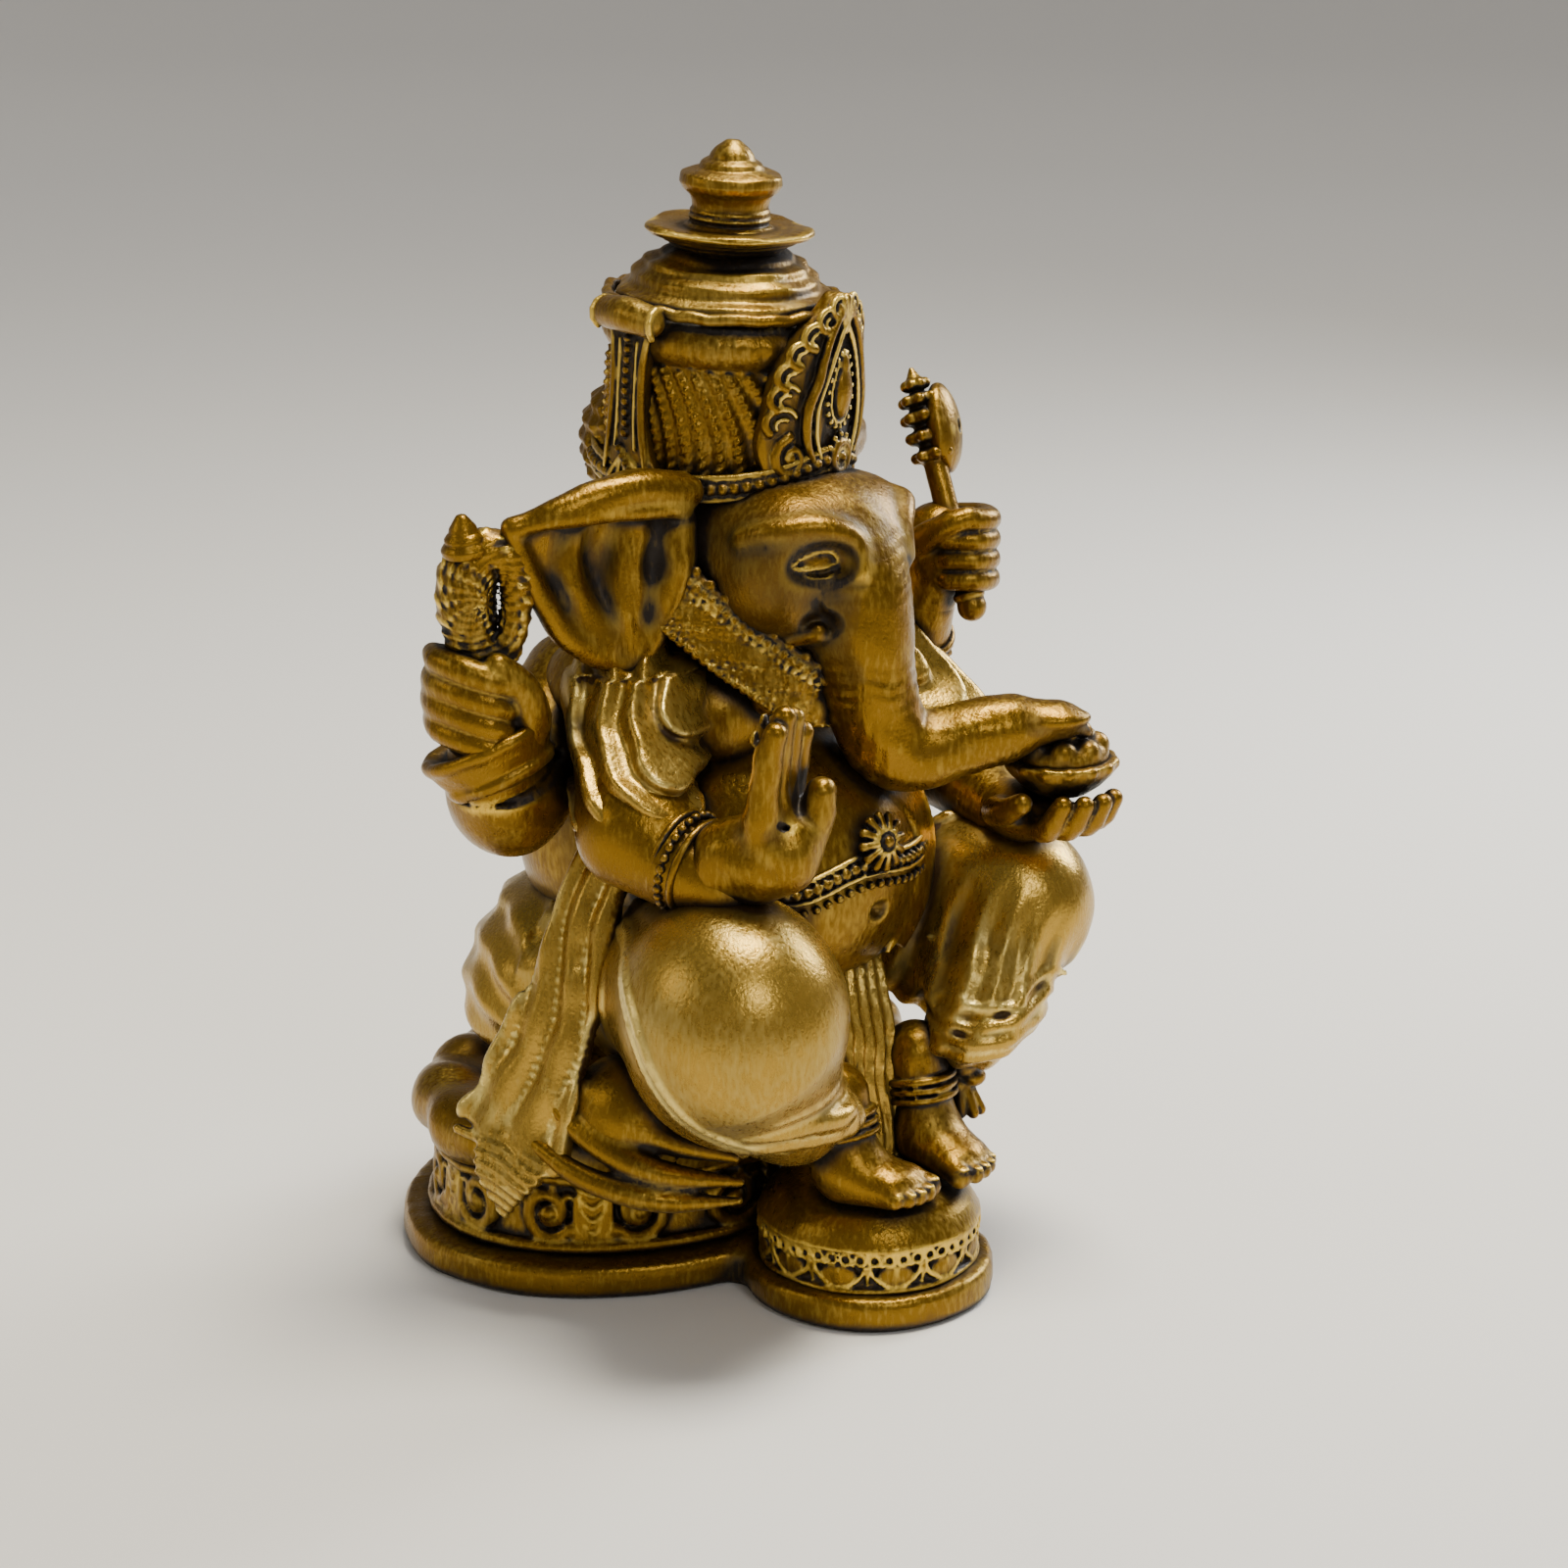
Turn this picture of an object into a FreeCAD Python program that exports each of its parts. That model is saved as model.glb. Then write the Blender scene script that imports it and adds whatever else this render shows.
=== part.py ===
"""A seated four-armed elephant-headed deity on an oval plinth with a round lotus footrest.

Frame: millimetres, +Z up. The figure faces -Y and its right hand is at -X. The origin is on the underside,
which rests on the shelf, below the figure's spine. Every sculpted element is a piece of its own, cut back face
to face where it sits against the pieces that were made before it.
"""
import FreeCAD
import Part
import Sketcher
import math
import os
import re

V = FreeCAD.Vector
ROT = FreeCAD.Rotation
PLACE = FreeCAD.Placement

DIMENSIONS = [
    # plinth, footrest and throne
    ("plinth_wide", 156.0, "main oval, side to side"),
    ("plinth_deep", 116.0, "main oval, front to back"),
    ("plinth_back", 4.0, "main oval's centre behind the origin"),
    ("plinth_thick", 9.0, "slab under everything"),
    ("step_radius", 31.5, "round lobe of the slab under the footrest"),
    ("step_reach", 72.0, "footrest's centre in front of the origin"),
    ("footrest_radius", 28.0, "lotus footrest, widest"),
    ("footrest_tall", 22.0, "lotus footrest above the slab"),
    ("bead_ring", 1.8, "radius of the beaded ring round the footrest"),
    ("throne_inset", 9.0, "from the oval's edge in to the throne's wall"),
    ("throne_tall", 21.0, "rock seat above the slab"),
    ("cushion_inset", 5.0, "from the oval's edge in to the cushion's edge"),
    ("cushion_thick", 12.0, "cushion on the rock seat"),
    ("scroll_radius", 6.0, "scroll on the throne's wall, to its roll's middle"),
    ("scroll_roll", 2.8, "radius of a scroll's roll"),
    ("scroll_count", 14.0, "scrolls round the throne, less those behind the footrest"),
    # body
    ("hip_wide", 106.0, "draped hips, side to side"),
    ("hip_deep", 92.0, "draped hips, front to back"),
    ("hip_tall", 66.0, "draped hips, height"),
    ("hip_sink", 5.0, "how deep the hips sit in the cushion"),
    ("back_wide", 86.0, "back and flanks, side to side"),
    ("back_deep", 72.0, "back and flanks, front to back"),
    ("back_tall", 96.0, "back and flanks, height"),
    ("belly_wide", 84.0, "belly, side to side"),
    ("belly_deep", 78.0, "belly, front to back"),
    ("belly_tall", 74.0, "belly, height"),
    ("belly_reach", 33.0, "belly's centre in front of the origin"),
    ("chest_wide", 78.0, "chest, side to side"),
    ("chest_deep", 54.0, "chest, front to back"),
    ("chest_tall", 46.0, "chest, height"),
    # legs and feet
    ("knee_out", 50.0, "knee's centre from the middle plane"),
    ("knee_reach", 72.0, "knee's centre in front of the origin"),
    ("knee_rise", 44.0, "knee's centre above the cushion"),
    ("knee_radius", 26.0, "right knee, draped full"),
    ("left_lift", 8.0, "left knee above the right one"),
    ("left_knee", 17.5, "left knee's radius, draped tight"),
    ("thigh_radius", 24.0, "draped thigh at the hip"),
    ("shin_radius", 18.0, "draped shin above the hem"),
    ("hem_radius", 12.0, "gathered hem round the shin, to its roll's middle"),
    ("hem_roll", 5.0, "radius of the hem's roll"),
    ("ankle_radius", 9.0, "bare ankle below the hem"),
    ("foot_long", 36.0, "heel to toe"),
    ("foot_wide", 17.0, "across the toes"),
    ("foot_tall", 12.0, "sole to instep"),
    ("foot_out", 10.0, "foot's centre from the footrest's middle"),
    ("tassel_radius", 6.0, "knotted tassel by the left ankle"),
    # arms and hands
    ("shoulder_out", 36.0, "shoulder from the middle plane"),
    ("shoulder_radius", 15.0, "upper arm at the shoulder"),
    ("elbow_radius", 13.0, "elbow"),
    ("wrist_radius", 8.0, "arm at the wrist"),
    ("fist_radius", 13.5, "closed hand"),
    ("palm_long", 34.0, "open hand, wrist to finger ends"),
    ("palm_wide", 19.0, "open hand, side to side"),
    ("palm_thick", 12.0, "open hand, back to palm"),
    ("cuff_radius", 9.5, "arm ring, to its roll's middle"),
    ("cuff_roll", 3.0, "radius of an arm ring's roll"),
    ("shawl_thick", 4.0, "shawl over the shoulders and upper arms"),
    # head
    ("skull_wide", 58.0, "head, cheek to cheek"),
    ("skull_deep", 68.0, "head, brow to nape"),
    ("skull_tall", 60.0, "head, jaw to crown"),
    ("skull_reach", 32.0, "head's centre in front of the origin"),
    ("neck_radius", 19.0, "neck"),
    ("head_turn", 12.0, "degrees that the head turns to its left"),
    ("trunk_root", 14.0, "elephant trunk's radius at the brow"),
    ("trunk_bend", 10.0, "elephant trunk's radius at the bend"),
    ("trunk_tip", 6.0, "elephant trunk's radius at the tip"),
    ("ear_wide", 48.0, "ear, head to outer edge"),
    ("ear_tall", 50.0, "ear, top to lobe"),
    ("ear_thick", 11.0, "ear with its folded edge"),
    ("ear_sweep", 26.0, "degrees that the ears sweep back"),
    ("tusk_radius", 4.5, "tusk at the root"),
    # crown
    ("crown_lean", 4.0, "degrees that the crown leans forward"),
    ("cap_radius", 29.5, "braided cap"),
    ("cap_tall", 43.0, "braided cap"),
    ("band_thick", 3.0, "beaded brow band outside the cap"),
    ("band_tall", 7.0, "beaded brow band"),
    ("crest_thick", 6.5, "leaf plate at the brow, outside the cap"),
    ("crest_arc", 84.0, "degrees of the cap that the leaf plate covers"),
    ("panel_thick", 4.5, "side panel, outside the cap"),
    ("panel_arc", 34.0, "degrees of the cap that a side panel covers"),
    ("bun_radius", 16.0, "hair bun behind the cap"),
    ("roof_radius", 28.0, "stepped roof over the cap"),
    ("roof_tall", 10.0, "stepped roof"),
    ("disc_radius", 20.5, "flat disc under the spire"),
    ("disc_tall", 8.0, "disc with the cup under it"),
    ("spire_radius", 12.5, "spire's rim"),
    ("spire_tall", 19.0, "spire above the disc"),
    # what the hands hold
    ("noose_radius", 9.0, "noose's loop, to the rope's middle"),
    ("rope_radius", 5.0, "noose's rope"),
    ("knot_radius", 5.5, "knot on top of the noose"),
    ("handle_radius", 3.5, "axe handle"),
    ("handle_long", 62.0, "axe handle"),
    ("blade_radius", 12.0, "axe blade"),
    ("blade_thick", 8.0, "axe blade"),
    ("bowl_radius", 14.5, "sweet bowl's rim"),
    ("bowl_tall", 9.0, "sweet bowl"),
    ("sweet_radius", 5.0, "one sweet"),
    # trims
    ("girdle_thick", 2.5, "girdle on the belly"),
    ("girdle_tall", 9.0, "girdle's height"),
    ("flower_radius", 7.5, "flower on the girdle"),
    ("necklace_radius", 26.0, "necklace, to the middle of its roll"),
    ("necklace_roll", 4.0, "radius of the necklace's roll"),
    ("sash_wide", 15.0, "half the width of the hanging sash"),
    ("sash_thick", 3.0, "half the thickness of the hanging sash"),
    ("pleat_wide", 11.0, "half the width of the pleats between the shins"),
    ("pleat_thick", 4.0, "half the thickness of the pleats"),
]

doc = FreeCAD.newDocument("statue")
sheet = doc.addObject("Spreadsheet::Sheet", "dims")
for row, (alias, size, meaning) in enumerate(DIMENSIONS, start=1):
    sheet.set(f"A{row}", str(size))
    sheet.setAlias(f"A{row}", alias)
    sheet.set(f"B{row}", meaning)
doc.recompute()


class Sizes:
    """Reads a driving dimension from the sheet by its alias."""

    def __getattr__(self, alias):
        return float(sheet.get(alias))


d = Sizes()


# ---------------------------------------------------------------- ways to make a solid
def in_sheet(text):
    """An expression with each alias, a word with an underscore, read from the sheet."""
    return re.sub(r"[a-z]+_[a-z]+", r"dims.\g<0>", text)


def value(text):
    """What an expression in the sheet's aliases comes to."""
    return float(origin_of_values.evalExpression(in_sheet(text)))


def bind(obj, unit="mm", **sizes):
    """Ties each property to an expression in the sheet's aliases."""
    for prop, text in sizes.items():
        obj.setExpression(prop, f"({in_sheet(text)}) * 1 {unit}")
    return obj


origin_of_values = doc.addObject("App::FeaturePython", "values")


def blob(centre, across, deep, tall, turn=None):
    """An ellipsoid: full sizes along its X, Y and Z."""
    obj = doc.addObject("Part::Ellipsoid", "blob")
    bind(obj, Radius2=f"({across}) / 2", Radius3=f"({deep}) / 2", Radius1=f"({tall}) / 2")
    obj.Placement = PLACE(V(*centre), turn or ROT())
    return obj


def ball(centre, radius):
    obj = bind(doc.addObject("Part::Sphere", "ball"), Radius=radius)
    obj.Placement = PLACE(V(*centre), ROT())
    return obj


def ring(centre, axis, radius, roll):
    """A torus about an axis: radius to the middle of its roll, and the roll's own radius."""
    obj = bind(doc.addObject("Part::Torus", "ring"), Radius1=radius, Radius2=roll)
    obj.Placement = PLACE(V(*centre), ROT(V(0, 0, 1), V(*axis)))
    return obj


def rod(start, towards, radius, length):
    """A round bar from start towards another point."""
    obj = bind(doc.addObject("Part::Cylinder", "rod"), Radius=radius, Height=length)
    obj.Placement = PLACE(V(*start), ROT(V(0, 0, 1), V(*towards) - V(*start)))
    return obj


def loft(sections):
    obj = doc.addObject("Part::Loft", "loft")
    obj.Sections = sections
    obj.Solid = True
    return obj


def directions(points):
    """The direction of a path at each of its points."""
    last = len(points) - 1
    return [points[min(i + 1, last)] - points[max(i - 1, 0)] for i in range(last + 1)]


def limb(*stations):
    """A round tapering limb through (point, radius) stations."""
    points = [V(*point) for point, _ in stations]
    circles = []
    turn, last = ROT(), V(0, 0, 1)
    for point, along, (_, radius) in zip(points, directions(points), stations):
        turn = ROT(last, along).multiply(turn)
        last = along
        circle = bind(doc.addObject("Part::Circle", "station"), Radius=radius)
        circle.Placement = PLACE(point, turn)
        circles.append(circle)
    return loft(circles)


def chain(*stations):
    """A bent limb: straight tapers with a ball at each bend, a little fatter than the tapers in it."""
    pieces = []
    for (start, start_radius), (end, end_radius) in zip(stations, stations[1:]):
        pieces.append(limb((start, f"{start_radius} - 0.5"), (end, f"{end_radius} - 0.5")))
        pieces.append(ball(end, end_radius))
    return joined(*pieces)


def strip(facing, *stations):
    """A flat strip of cloth through (point, half width, half thickness) stations, thin along facing."""
    points = [V(*point) for point, _, _ in stations]
    ovals = []
    for point, along, (_, wide, thick) in zip(points, directions(points), stations):
        oval = bind(doc.addObject("Part::Ellipse", "station"), MajorRadius=wide, MinorRadius=thick)
        across = along.cross(V(*facing))
        oval.Placement = PLACE(point, ROT(across, V(), along, "ZXY"))
        ovals.append(oval)
    return loft(ovals)


def joined(*objs):
    obj = doc.addObject("Part::MultiFuse", "joined")
    obj.Shapes = list(objs)
    return obj


def group(*objs):
    obj = doc.addObject("Part::Compound", "group")
    obj.Links = list(objs)
    return obj


def common(first, second):
    obj = doc.addObject("Part::Common", "common")
    obj.Base = first
    obj.Tool = second
    return obj


def less(base, tool):
    cut = doc.addObject("Part::Cut", "less")
    cut.Base = base
    cut.Tool = tool
    return cut


def origin_plane(body, role):
    return next(plane for plane in body.Origin.OriginFeatures if plane.Role == role)


def new_sketch(body, role):
    sketch = body.newObject("Sketcher::SketchObject", "sketch")
    sketch.AttachmentSupport = [(origin_plane(body, role), "")]
    sketch.MapMode = "FlatFace"
    return sketch


def drive(sketch, text, kind, *ends):
    """Adds a constraint whose value is an expression in the sheet's aliases."""
    index = sketch.addConstraint(Sketcher.Constraint(kind, *ends, value(text)))
    bind(sketch, **{f"Constraints[{index}]": text})


def turned(outline, arc=None):
    """A turned body. outline lists (radius, height) expressions round a closed shape; "0" is on the axis."""
    body = doc.addObject("PartDesign::Body", "turned")
    sketch = new_sketch(body, "XZ_Plane")
    corners = [V(value(radius), value(height), 0) for radius, height in outline]
    count = len(corners)
    for i in range(count):
        sketch.addGeometry(Part.LineSegment(corners[i], corners[(i + 1) % count]), False)
    for i in range(count):
        sketch.addConstraint(Sketcher.Constraint("Coincident", i, 2, (i + 1) % count, 1))
    for i, (radius, height) in enumerate(outline):
        if radius == "0":
            sketch.addConstraint(Sketcher.Constraint("PointOnObject", i, 1, -2))
        else:
            drive(sketch, radius, "DistanceX", -1, 1, i, 1)
        if height == "0":
            sketch.addConstraint(Sketcher.Constraint("PointOnObject", i, 1, -1))
        else:
            drive(sketch, height, "DistanceY", -1, 1, i, 1)
    spin = body.newObject("PartDesign::Revolution", "spin")
    spin.Profile = sketch
    spin.ReferenceAxis = (sketch, ["V_Axis"])
    spin.Angle = 360
    if arc:
        spin.Midplane = True
        bind(spin, unit="deg", Angle=arc)
    return body


def at(body, place):
    body.Placement = place
    return body


# ---------------------------------------------------------------- pieces, in the order that they are fitted
TOUCHING = 0.01
WHOLE = {}
PIECES = {}


def fit(label, shape, stands_on=None):
    """Makes shape a finished piece, cut back to clear earlier pieces, but for the one that it stands on."""
    doc.recompute()
    piece = shape
    box = shape.Shape.BoundBox
    for name, earlier in WHOLE.items():
        near = box.intersect(earlier.Shape.BoundBox)
        if near and name != stands_on and shape.Shape.distToShape(earlier.Shape)[0] < TOUCHING:
            piece = less(piece, earlier)
    WHOLE[label] = shape
    PIECES[label] = piece
    piece.Label = label
    return piece


# ---------------------------------------------------------------- heights that the dimensions add up to
SLAB_TOP = d.plinth_thick
THRONE_TOP = SLAB_TOP + d.throne_tall
SEAT = THRONE_TOP + d.cushion_thick
STEP_TOP = SLAB_TOP + d.footrest_tall
HIP_Z = SEAT - d.hip_sink + d.hip_tall / 2
HIP_TOP = HIP_Z + d.hip_tall / 2
BELLY_Z = HIP_TOP + 5
BACK_Z = HIP_TOP + 14
CHEST_Z = BACK_Z + d.back_tall / 2 - 20
SHOULDER_Z = CHEST_Z + 3
NAPE_Z = CHEST_Z + d.chest_tall / 2 - 8
SKULL_Z = NAPE_Z + d.skull_tall / 2
KNEE_Z = SEAT + d.knee_rise
CAP_Z = SKULL_Z + d.skull_tall / 6 + 1


def sided(side, x, y, z):
    """A point given for the left side, moved to the right side when side is -1."""
    return (side * x, y, z)


# ---------------------------------------------------------------- plinth, throne and footrest
def plinth():
    """The slab: a main oval and a round lobe, both standing on the shelf."""
    body = doc.addObject("PartDesign::Body", "slab")
    oval = new_sketch(body, "XY_Plane")
    back = d.plinth_back
    ends = (V(d.plinth_wide / 2, back, 0), V(0, back + d.plinth_deep / 2, 0), V(0, back, 0))
    oval.addGeometry(Part.Ellipse(*ends), False)
    oval.exposeInternalGeometry(0)
    oval.addConstraint(Sketcher.Constraint("PointOnObject", 0, 3, -2))
    oval.addConstraint(Sketcher.Constraint("Horizontal", 1))
    drive(oval, "plinth_back", "DistanceY", -1, 1, 0, 3)
    drive(oval, "plinth_wide", "Distance", 1)
    drive(oval, "plinth_deep", "Distance", 2)
    slab = body.newObject("PartDesign::Pad", "slab_pad")
    slab.Profile = oval
    bind(slab, Length="plinth_thick")
    lobe = new_sketch(body, "XY_Plane")
    lobe.addGeometry(Part.Circle(V(0, -d.step_reach, 0), V(0, 0, 1), d.step_radius), False)
    lobe.addConstraint(Sketcher.Constraint("PointOnObject", 0, 3, -2))
    drive(lobe, "step_reach", "DistanceY", 0, 3, -1, 1)
    drive(lobe, "step_radius", "Radius", 0)
    step = body.newObject("PartDesign::Pad", "lobe_pad")
    step.Profile = lobe
    bind(step, Length="plinth_thick")
    return body


def oval_at(height, inset, wider):
    """A level oval section, inset from the plinth's edge and then let out again by wider."""
    oval = doc.addObject("Part::Ellipse", "oval")
    bind(oval, MajorRadius=f"plinth_wide / 2 - {inset} + {wider}")
    bind(oval, MinorRadius=f"plinth_deep / 2 - {inset} + {wider}")
    oval.Placement = PLACE(V(0, d.plinth_back, height), ROT())
    return oval


def throne():
    """The rock seat, waisted between its foot and its rim."""
    middle = SLAB_TOP + d.throne_tall / 2
    return loft([oval_at(SLAB_TOP, "throne_inset", "0"), oval_at(middle, "throne_inset", "(-3)"),
                 oval_at(THRONE_TOP, "throne_inset", "1")])


def cushion():
    middle = THRONE_TOP + d.cushion_thick / 2
    return loft([oval_at(THRONE_TOP, "cushion_inset", "(-4)"), oval_at(middle, "cushion_inset", "0"),
                 oval_at(SEAT, "cushion_inset", "(-9)")])


def throne_scrolls():
    """Rolled leaf scrolls round the throne's waist, none where the footrest stands."""
    wide = d.plinth_wide / 2 - d.throne_inset - 2
    deep = d.plinth_deep / 2 - d.throne_inset - 2
    count = int(d.scroll_count)
    rolls = []
    for i in range(count):
        angle = 2 * math.pi * (i + 0.5) / count
        spot = (wide * math.cos(angle), d.plinth_back + deep * math.sin(angle), SLAB_TOP + d.throne_tall / 2)
        outward = (math.cos(angle) / wide, math.sin(angle) / deep, 0)
        behind_footrest = spot[1] < 0 and abs(spot[0]) < d.footrest_radius + d.scroll_radius
        if not behind_footrest:
            rolls.append(ring(spot, outward, "scroll_radius", "scroll_roll"))
    return group(*rolls)


def footrest():
    """A turned lotus cushion: a foot, a bead seat and a domed top."""
    outline = [("0", "0"), ("footrest_radius", "0"), ("footrest_radius - 1.5", "footrest_tall * 0.3"),
               ("footrest_radius", "footrest_tall * 0.55"), ("footrest_radius - 3", "footrest_tall * 0.75"),
               ("footrest_radius - 10", "footrest_tall * 0.93"), ("0", "footrest_tall")]
    return at(turned(outline), PLACE(V(0, -d.step_reach, SLAB_TOP), ROT()))


def footrest_beads():
    """The raised ring round the footrest, open where the throne stands behind it."""
    middle = (0, -d.step_reach, SLAB_TOP + d.footrest_tall * 0.4)
    beads = ring(middle, (0, 0, 1), "footrest_radius", "bead_ring")
    open_half = 50
    beads.Angle3 = 360 - 2 * open_half
    beads.Placement = beads.Placement.multiply(PLACE(V(), ROT(90 + open_half, 0, 0)))
    return beads


# ---------------------------------------------------------------- body
def hips():
    return blob((0, 2, HIP_Z), "hip_wide", "hip_deep", "hip_tall")


def back():
    return blob((0, -8, BACK_Z), "back_wide", "back_deep", "back_tall")


def belly():
    return blob((0, -d.belly_reach, BELLY_Z), "belly_wide", "belly_deep", "belly_tall")


def chest():
    return blob((0, -20, CHEST_Z), "chest_wide", "chest_deep", "chest_tall")


def girdle():
    """A belt round the front of the belly: a slice of a slightly larger belly."""
    both_sides = "2 * girdle_thick"
    outer = blob((0, -d.belly_reach, BELLY_Z), f"belly_wide + {both_sides}", f"belly_deep + {both_sides}",
                 f"belly_tall + {both_sides}")
    slice_box = bind(doc.addObject("Part::Box", "slice"), Length="2 * belly_wide", Width="2 * belly_deep",
                     Height="girdle_tall")
    corner = V(-d.belly_wide, -d.belly_reach - d.belly_deep, BELLY_Z - d.girdle_tall / 2)
    slice_box.Placement = PLACE(corner, ROT())
    front = bind(doc.addObject("Part::Box", "front"), Length="2 * belly_wide", Width="belly_deep * 0.8",
                 Height="belly_tall")
    front.Placement = PLACE(V(-d.belly_wide, -d.belly_reach - d.belly_deep * 0.8, BELLY_Z - d.belly_tall / 2),
                            ROT())
    return common(common(outer, slice_box), front)


def girdle_flower():
    front = -d.belly_reach - d.belly_deep / 2
    return blob((0, front + 2, BELLY_Z + d.girdle_tall), "2 * flower_radius", "12", "2 * flower_radius")


def necklace():
    return ring((0, -20, NAPE_Z + 2), (0, -0.5, 1), "necklace_radius", "necklace_roll")


# ---------------------------------------------------------------- legs
class Leg:
    """One leg's joints, as points given for the left side, and its radii."""

    def __init__(self, side, knee, hem, ankle, sole, knee_radius):
        self.side = side
        self.hip = sided(side, 26, -14, HIP_Z)
        self.knee = sided(side, *knee)
        self.hem = sided(side, *hem)
        self.ankle = sided(side, *ankle)
        self.sole = sided(side, *sole)
        self.knee_radius = knee_radius

    def limb(self):
        """Thigh, knee and shin under the cloth, down into the hem."""
        shin = limb((self.knee, f"{self.knee_radius} - 3"), (self.hem, "shin_radius - 4"))
        return joined(chain((self.hip, "thigh_radius"), (self.knee, self.knee_radius)), shin)

    def hem_roll(self):
        down = V(*self.hem) - V(*self.knee)
        return ring(self.hem, tuple(down), "hem_radius", "hem_roll")

    def foot(self):
        shoe = blob(self.sole, "foot_wide", "foot_long", "foot_tall", ROT(8 * self.side, 0, 0))
        shin = chain((self.hem, "ankle_radius"), (self.ankle, "ankle_radius"), (self.sole, "foot_tall / 3"))
        return joined(shoe, shin)


SOLE_Z = STEP_TOP + d.foot_tall / 3
LEGS = {
    "right": Leg(-1, (d.knee_out, -d.knee_reach, KNEE_Z),
                 (d.knee_out - 16, -d.step_reach + 1, STEP_TOP + 25),
                 (d.foot_out + 4, -d.step_reach + 1, STEP_TOP + 19),
                 (d.foot_out - 3, -d.step_reach - 7, SOLE_Z), "knee_radius"),
    "left": Leg(1, (d.knee_out, -d.knee_reach - 3, KNEE_Z + d.left_lift),
                (d.knee_out - 22, -d.step_reach - 10, STEP_TOP + 36),
                (d.foot_out + 5, -d.step_reach - 2, STEP_TOP + 22),
                (d.foot_out + 3, -d.step_reach - 9, SOLE_Z), "left_knee"),
}


def front_pleats():
    """Pleated cloth that falls between the shins onto the footrest."""
    top = (0, -d.belly_reach - 22, BELLY_Z - 24)
    middle = (0, -d.step_reach + 2, STEP_TOP + 26)
    low = (0, -d.step_reach - 1, STEP_TOP + 3)
    return strip((0, -1, 0), (top, "pleat_wide - 2", "pleat_thick"),
                 (middle, "pleat_wide - 1", "pleat_thick"),
                 (low, "pleat_wide - 3", "pleat_thick"))


def ankle_tassel():
    spot = (d.foot_out + 18, -d.step_reach - 5, STEP_TOP + 17)
    return blob(spot, "2 * tassel_radius", "2 * tassel_radius - 2", "2 * tassel_radius + 6")


# ---------------------------------------------------------------- arms
class Arm:
    """The joints of one arm, as points given for the left side."""

    def __init__(self, side, shoulder, elbow, wrist, palm):
        self.shoulder = sided(side, *shoulder)
        self.elbow = sided(side, *elbow)
        self.wrist = sided(side, *wrist)
        self.palm = sided(side, *palm)

    def sleeve_end(self, share):
        """A point on the upper arm, a share of the way to the elbow."""
        return tuple(V(*self.shoulder) + (V(*self.elbow) - V(*self.shoulder)) * share)

    def limb(self):
        return chain((self.shoulder, "shoulder_radius"), (self.elbow, "elbow_radius"),
                     (self.wrist, "wrist_radius"))

    def cuff(self, share):
        """A ring on the forearm, a share of the way from the elbow to the wrist."""
        spot = V(*self.elbow) + (V(*self.wrist) - V(*self.elbow)) * share
        return ring(tuple(spot), tuple(V(*self.wrist) - V(*self.elbow)), "cuff_radius", "cuff_roll")

    def shawl(self, share):
        return limb((self.shoulder, "shoulder_radius + shawl_thick"),
                    (self.sleeve_end(share), "elbow_radius + shawl_thick"))


OUT = d.shoulder_out
ARMS = {
    "right_front": Arm(-1, (OUT, -26, SHOULDER_Z), (OUT + 16, -44, SHOULDER_Z - 24),
                       (OUT + 10, -68, SHOULDER_Z - 32), (OUT + 10, -76, SHOULDER_Z - 10)),
    "left_front": Arm(1, (OUT, -26, SHOULDER_Z), (OUT + 20, -44, SHOULDER_Z - 28),
                      (OUT + 12, -68, SHOULDER_Z - 32), (OUT + 10, -84, SHOULDER_Z - 31)),
    "right_rear": Arm(-1, (OUT, -2, SHOULDER_Z - 2), (OUT + 28, -9, SHOULDER_Z - 20),
                      (OUT + 36, -16, SHOULDER_Z - 5), (OUT + 39, -17, SHOULDER_Z + 8)),
    "left_rear": Arm(1, (OUT, -2, SHOULDER_Z - 2), (OUT + 24, -14, SHOULDER_Z - 10),
                     (OUT + 20, -33, SHOULDER_Z + 13), (OUT + 22, -40, SHOULDER_Z + 29)),
}


def blessing_hand():
    """The open right hand, raised with its fingers up."""
    arm = ARMS["right_front"]
    palm = blob(arm.palm, "palm_wide", "palm_thick", "palm_long", ROT(0, 0, 12))
    return joined(palm, limb((arm.wrist, "wrist_radius - 1"), (arm.palm, "wrist_radius - 2")))


def bowl_spot():
    palm = ARMS["left_front"].palm
    return V(palm[0] + 4, palm[1] - 4, palm[2] + d.palm_thick / 2)


def offering_hand():
    """The left hand under the bowl."""
    arm = ARMS["left_front"]
    palm = blob(arm.palm, "palm_wide + 3", "palm_long", "palm_thick + 3")
    return joined(palm, limb((arm.wrist, "wrist_radius - 1"), (arm.palm, "wrist_radius - 2")))


def fist(name):
    arm = ARMS[name]
    wrist = limb((arm.wrist, "wrist_radius - 1"), (arm.palm, "wrist_radius"))
    return joined(ball(arm.palm, "fist_radius"), wrist)


def side_sash():
    """The long sash that hangs from the right flank down over the throne's side."""
    top = (-d.back_wide / 2 - 6, -28, SHOULDER_Z - 36)
    knee = (-d.hip_wide / 2 - 4, -25, HIP_Z + 15)
    seat = (-d.hip_wide / 2 - 13, -22, SEAT + 16)
    edge = (-d.plinth_wide / 2 + 8, -18, SEAT + 3)
    tail = (-d.plinth_wide / 2 + 2, -12, THRONE_TOP)
    return strip((-1, -0.6, 0.3), (top, "sash_wide - 2", "sash_thick"), (knee, "sash_wide - 1", "sash_thick"),
                 (seat, "sash_wide + 1", "sash_thick"), (edge, "sash_wide + 1", "sash_thick"),
                 (tail, "sash_wide * 0.4", "sash_thick"))


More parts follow.
